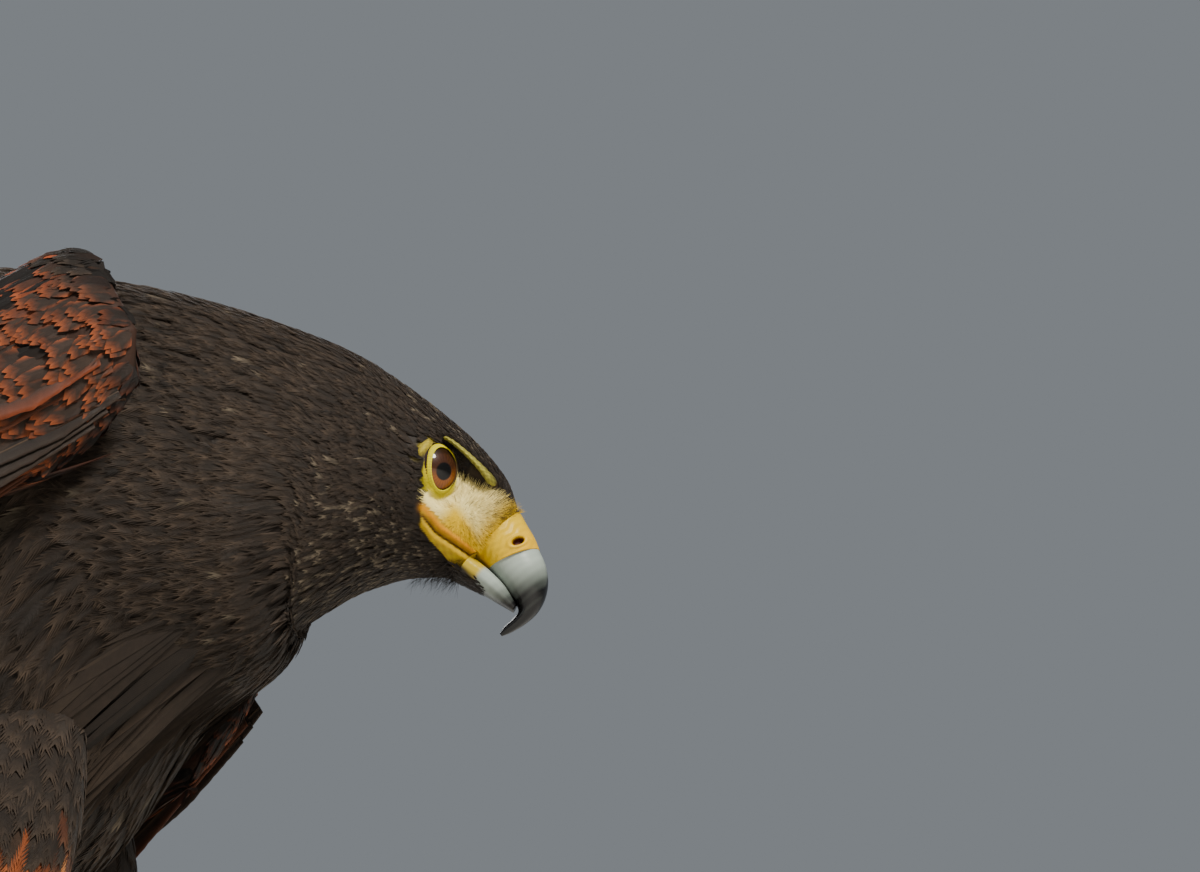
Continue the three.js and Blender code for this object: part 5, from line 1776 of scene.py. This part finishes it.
# %% The tree that grows bristles
def bristle_tree():
    tree = bpy.data.node_groups.new("bristles", "GeometryNodeTree")
    sockets = tree.interface
    sockets.new_socket("Roots", in_out="INPUT", socket_type="NodeSocketGeometry")
    width = sockets.new_socket("Width", in_out="INPUT", socket_type="NodeSocketFloat")
    sockets.new_socket("Bristles", in_out="OUTPUT", socket_type="NodeSocketGeometry")
    nodes, links = tree.nodes, tree.links
    given, out = nodes.new("NodeGroupInput"), nodes.new("NodeGroupOutput")
    cone = node(nodes, "GeometryNodeMeshCone", Vertices=5, Radius_Top=0.1, Depth=1.0)
    turn = node(nodes, "GeometryNodeInputNamedAttribute", dict(data_type="FLOAT_VECTOR"), Name="turn")
    reach = node(nodes, "GeometryNodeInputNamedAttribute", dict(data_type="FLOAT"), Name="reach")
    size = node(nodes, "ShaderNodeCombineXYZ")
    place = nodes.new("GeometryNodeInstanceOnPoints")
    points = nodes.new("GeometryNodeMeshToPoints")
    real = nodes.new("GeometryNodeRealizeInstances")
    finish = node(nodes, "GeometryNodeSetMaterial", Material=BARE_SKIN)
    links.new(given.outputs["Roots"], points.inputs["Mesh"])
    links.new(points.outputs[0], place.inputs["Points"])
    links.new(cone.outputs["Mesh"], place.inputs["Instance"])
    links.new(turn.outputs["Attribute"], place.inputs["Rotation"])
    links.new(given.outputs["Width"], size.inputs["X"])
    links.new(given.outputs["Width"], size.inputs["Y"])
    links.new(reach.outputs["Attribute"], size.inputs["Z"])
    links.new(size.outputs[0], place.inputs["Scale"])
    links.new(place.outputs["Instances"], real.inputs["Geometry"])
    links.new(real.outputs["Geometry"], finish.inputs["Geometry"])
    links.new(finish.outputs["Geometry"], out.inputs["Bristles"])
    return tree, width.identifier


BRISTLES, BRISTLE_WIDTH = bristle_tree()
print("nodes in the tree:", len(BRISTLES.nodes))

# %% [markdown]
# Roots are drawn from the cells of the body's form. On the lores the bristles fan out
# from a whorl between eye and bill, and under the chin they point down and back.


# %% Bristles
def bristle_piece(name, cells, heading, reach, width, paint):
    """Bristles on cells (rows, columns) of the body's form."""
    roots = body.grid[cells]
    turns = [Vector(v).to_track_quat("Z", "Y").to_euler() for v in heading]
    mesh = bpy.data.meshes.new(name)
    mesh.vertices.add(len(roots))
    mesh.vertices.foreach_set("co", placed(roots).astype(np.float32).ravel())
    mesh.attributes.new("turn", "FLOAT_VECTOR", "POINT").data.foreach_set("vector", np.array(turns).ravel())
    mesh.attributes.new("reach", "FLOAT", "POINT").data.foreach_set("value", reach * 0.001)
    rgba = np.ones((len(roots), 4), np.float32)
    rgba[:, :3] = paint
    mesh.attributes.new("paint", "FLOAT_COLOR", "POINT").data.foreach_set("color", rgba.ravel())
    obj = bpy.data.objects.new(name, mesh)
    bpy.context.scene.collection.objects.link(obj)
    grow = obj.modifiers.new("bristles", "NODES")
    grow.node_group = BRISTLES
    grow[BRISTLE_WIDTH] = width * 0.001
    bpy.context.view_layer.update()
    made = bpy.data.meshes.new_from_object(obj.evaluated_get(bpy.context.evaluated_depsgraph_get()))
    obj.modifiers.clear()
    obj.data = made
    each = len(made.vertices) // len(roots)
    corner = np.empty(len(made.loops), np.int32)
    made.loops.foreach_get("vertex_index", corner)
    spot = np.stack([body.angle[cells] / (2 * np.pi), body.s[cells] / BODY_END], -1) * 0.99 + 0.005
    step = np.arange(each) / each
    patch = np.stack([np.cos(2 * np.pi * step), np.sin(2 * np.pi * step)], -1) * PATCH / 2
    bake = (spot[:, None] + patch[None]).reshape(-1, 2)
    made.uv_layers.new(name="OFBake").data.foreach_set("uv", bake[corner].astype(np.float32).ravel())
    print(f"{name}: {len(roots)} bristles, {len(made.polygons)} faces")
    finish_piece(obj, "plumage")


WHORL = np.array([12.6, -7.6])  # in the side view


def lore_bristles(side, count=3400):
    rng = np.random.default_rng(61 + side)
    head = to_head(body.grid[:150])
    x, y, z = (head[..., k] for k in range(3))
    open_skin = inside(LORES, x, z) & (y * side > 3) & (x > 1)
    rows, columns = np.nonzero(open_skin)
    pick = rng.integers(0, len(rows), count)
    cells = rows[pick], columns[pick]
    normal, place = body.normal[cells], to_head(body.grid[cells])[:, [0, 2]]
    away = place - WHORL + rng.normal(0, 0.4, (count, 2))
    spread = np.stack([away[:, 0], 0 * away[:, 0], away[:, 1]], -1) @ HEAD_AXES
    heading = unit(spread) + normal * rng.uniform(0.12, 0.38, count)[:, None]
    heading = unit(heading + rng.normal(0, 0.13, (count, 3)))
    reach = rng.uniform(1.0, 2.6, count) * mix(0.6, 1.0, ease(np.linalg.norm(away, axis=1), 1, 8))
    tint = lore_tone(place[:, 0], place[:, 1]) * 1.12
    dark = (rng.random(count) < 0.08 + 0.5 * ease(place[:, 0] + place[:, 1], 13, 24))[:, None]
    paint = np.where(dark, colour(58, 48, 36), tint)
    bristle_piece(f"bristles_{NAMES[side]}", cells, heading, reach, 0.055, paint)


def chin_bristles(count=240):
    """Dark bristles on the chin, pointing down and back."""
    rng = np.random.default_rng(67)
    head = to_head(body.grid[:60])
    rows, columns = np.nonzero((head[..., 2] < -16) & (np.abs(head[..., 1]) < 8) & (head[..., 0] > 8))
    pick = rng.integers(0, len(rows), count)
    down = np.array([0.0, 0, -1.0]) @ HEAD_AXES
    heading = unit(down + rng.normal(0, 0.3, (count, 3)))
    cells = rows[pick], columns[pick]
    bristle_piece("bristles_chin", cells, heading, rng.uniform(2.5, 6.5, count), 0.05, colour(22, 17, 14))


for side in (-1, 1):
    lore_bristles(side)
chin_bristles()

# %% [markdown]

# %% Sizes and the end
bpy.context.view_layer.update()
total = sum(len(o.data.polygons) for o in bpy.context.scene.objects if o.type == "MESH" and not o.hide_render)
print("faces in all:", total)
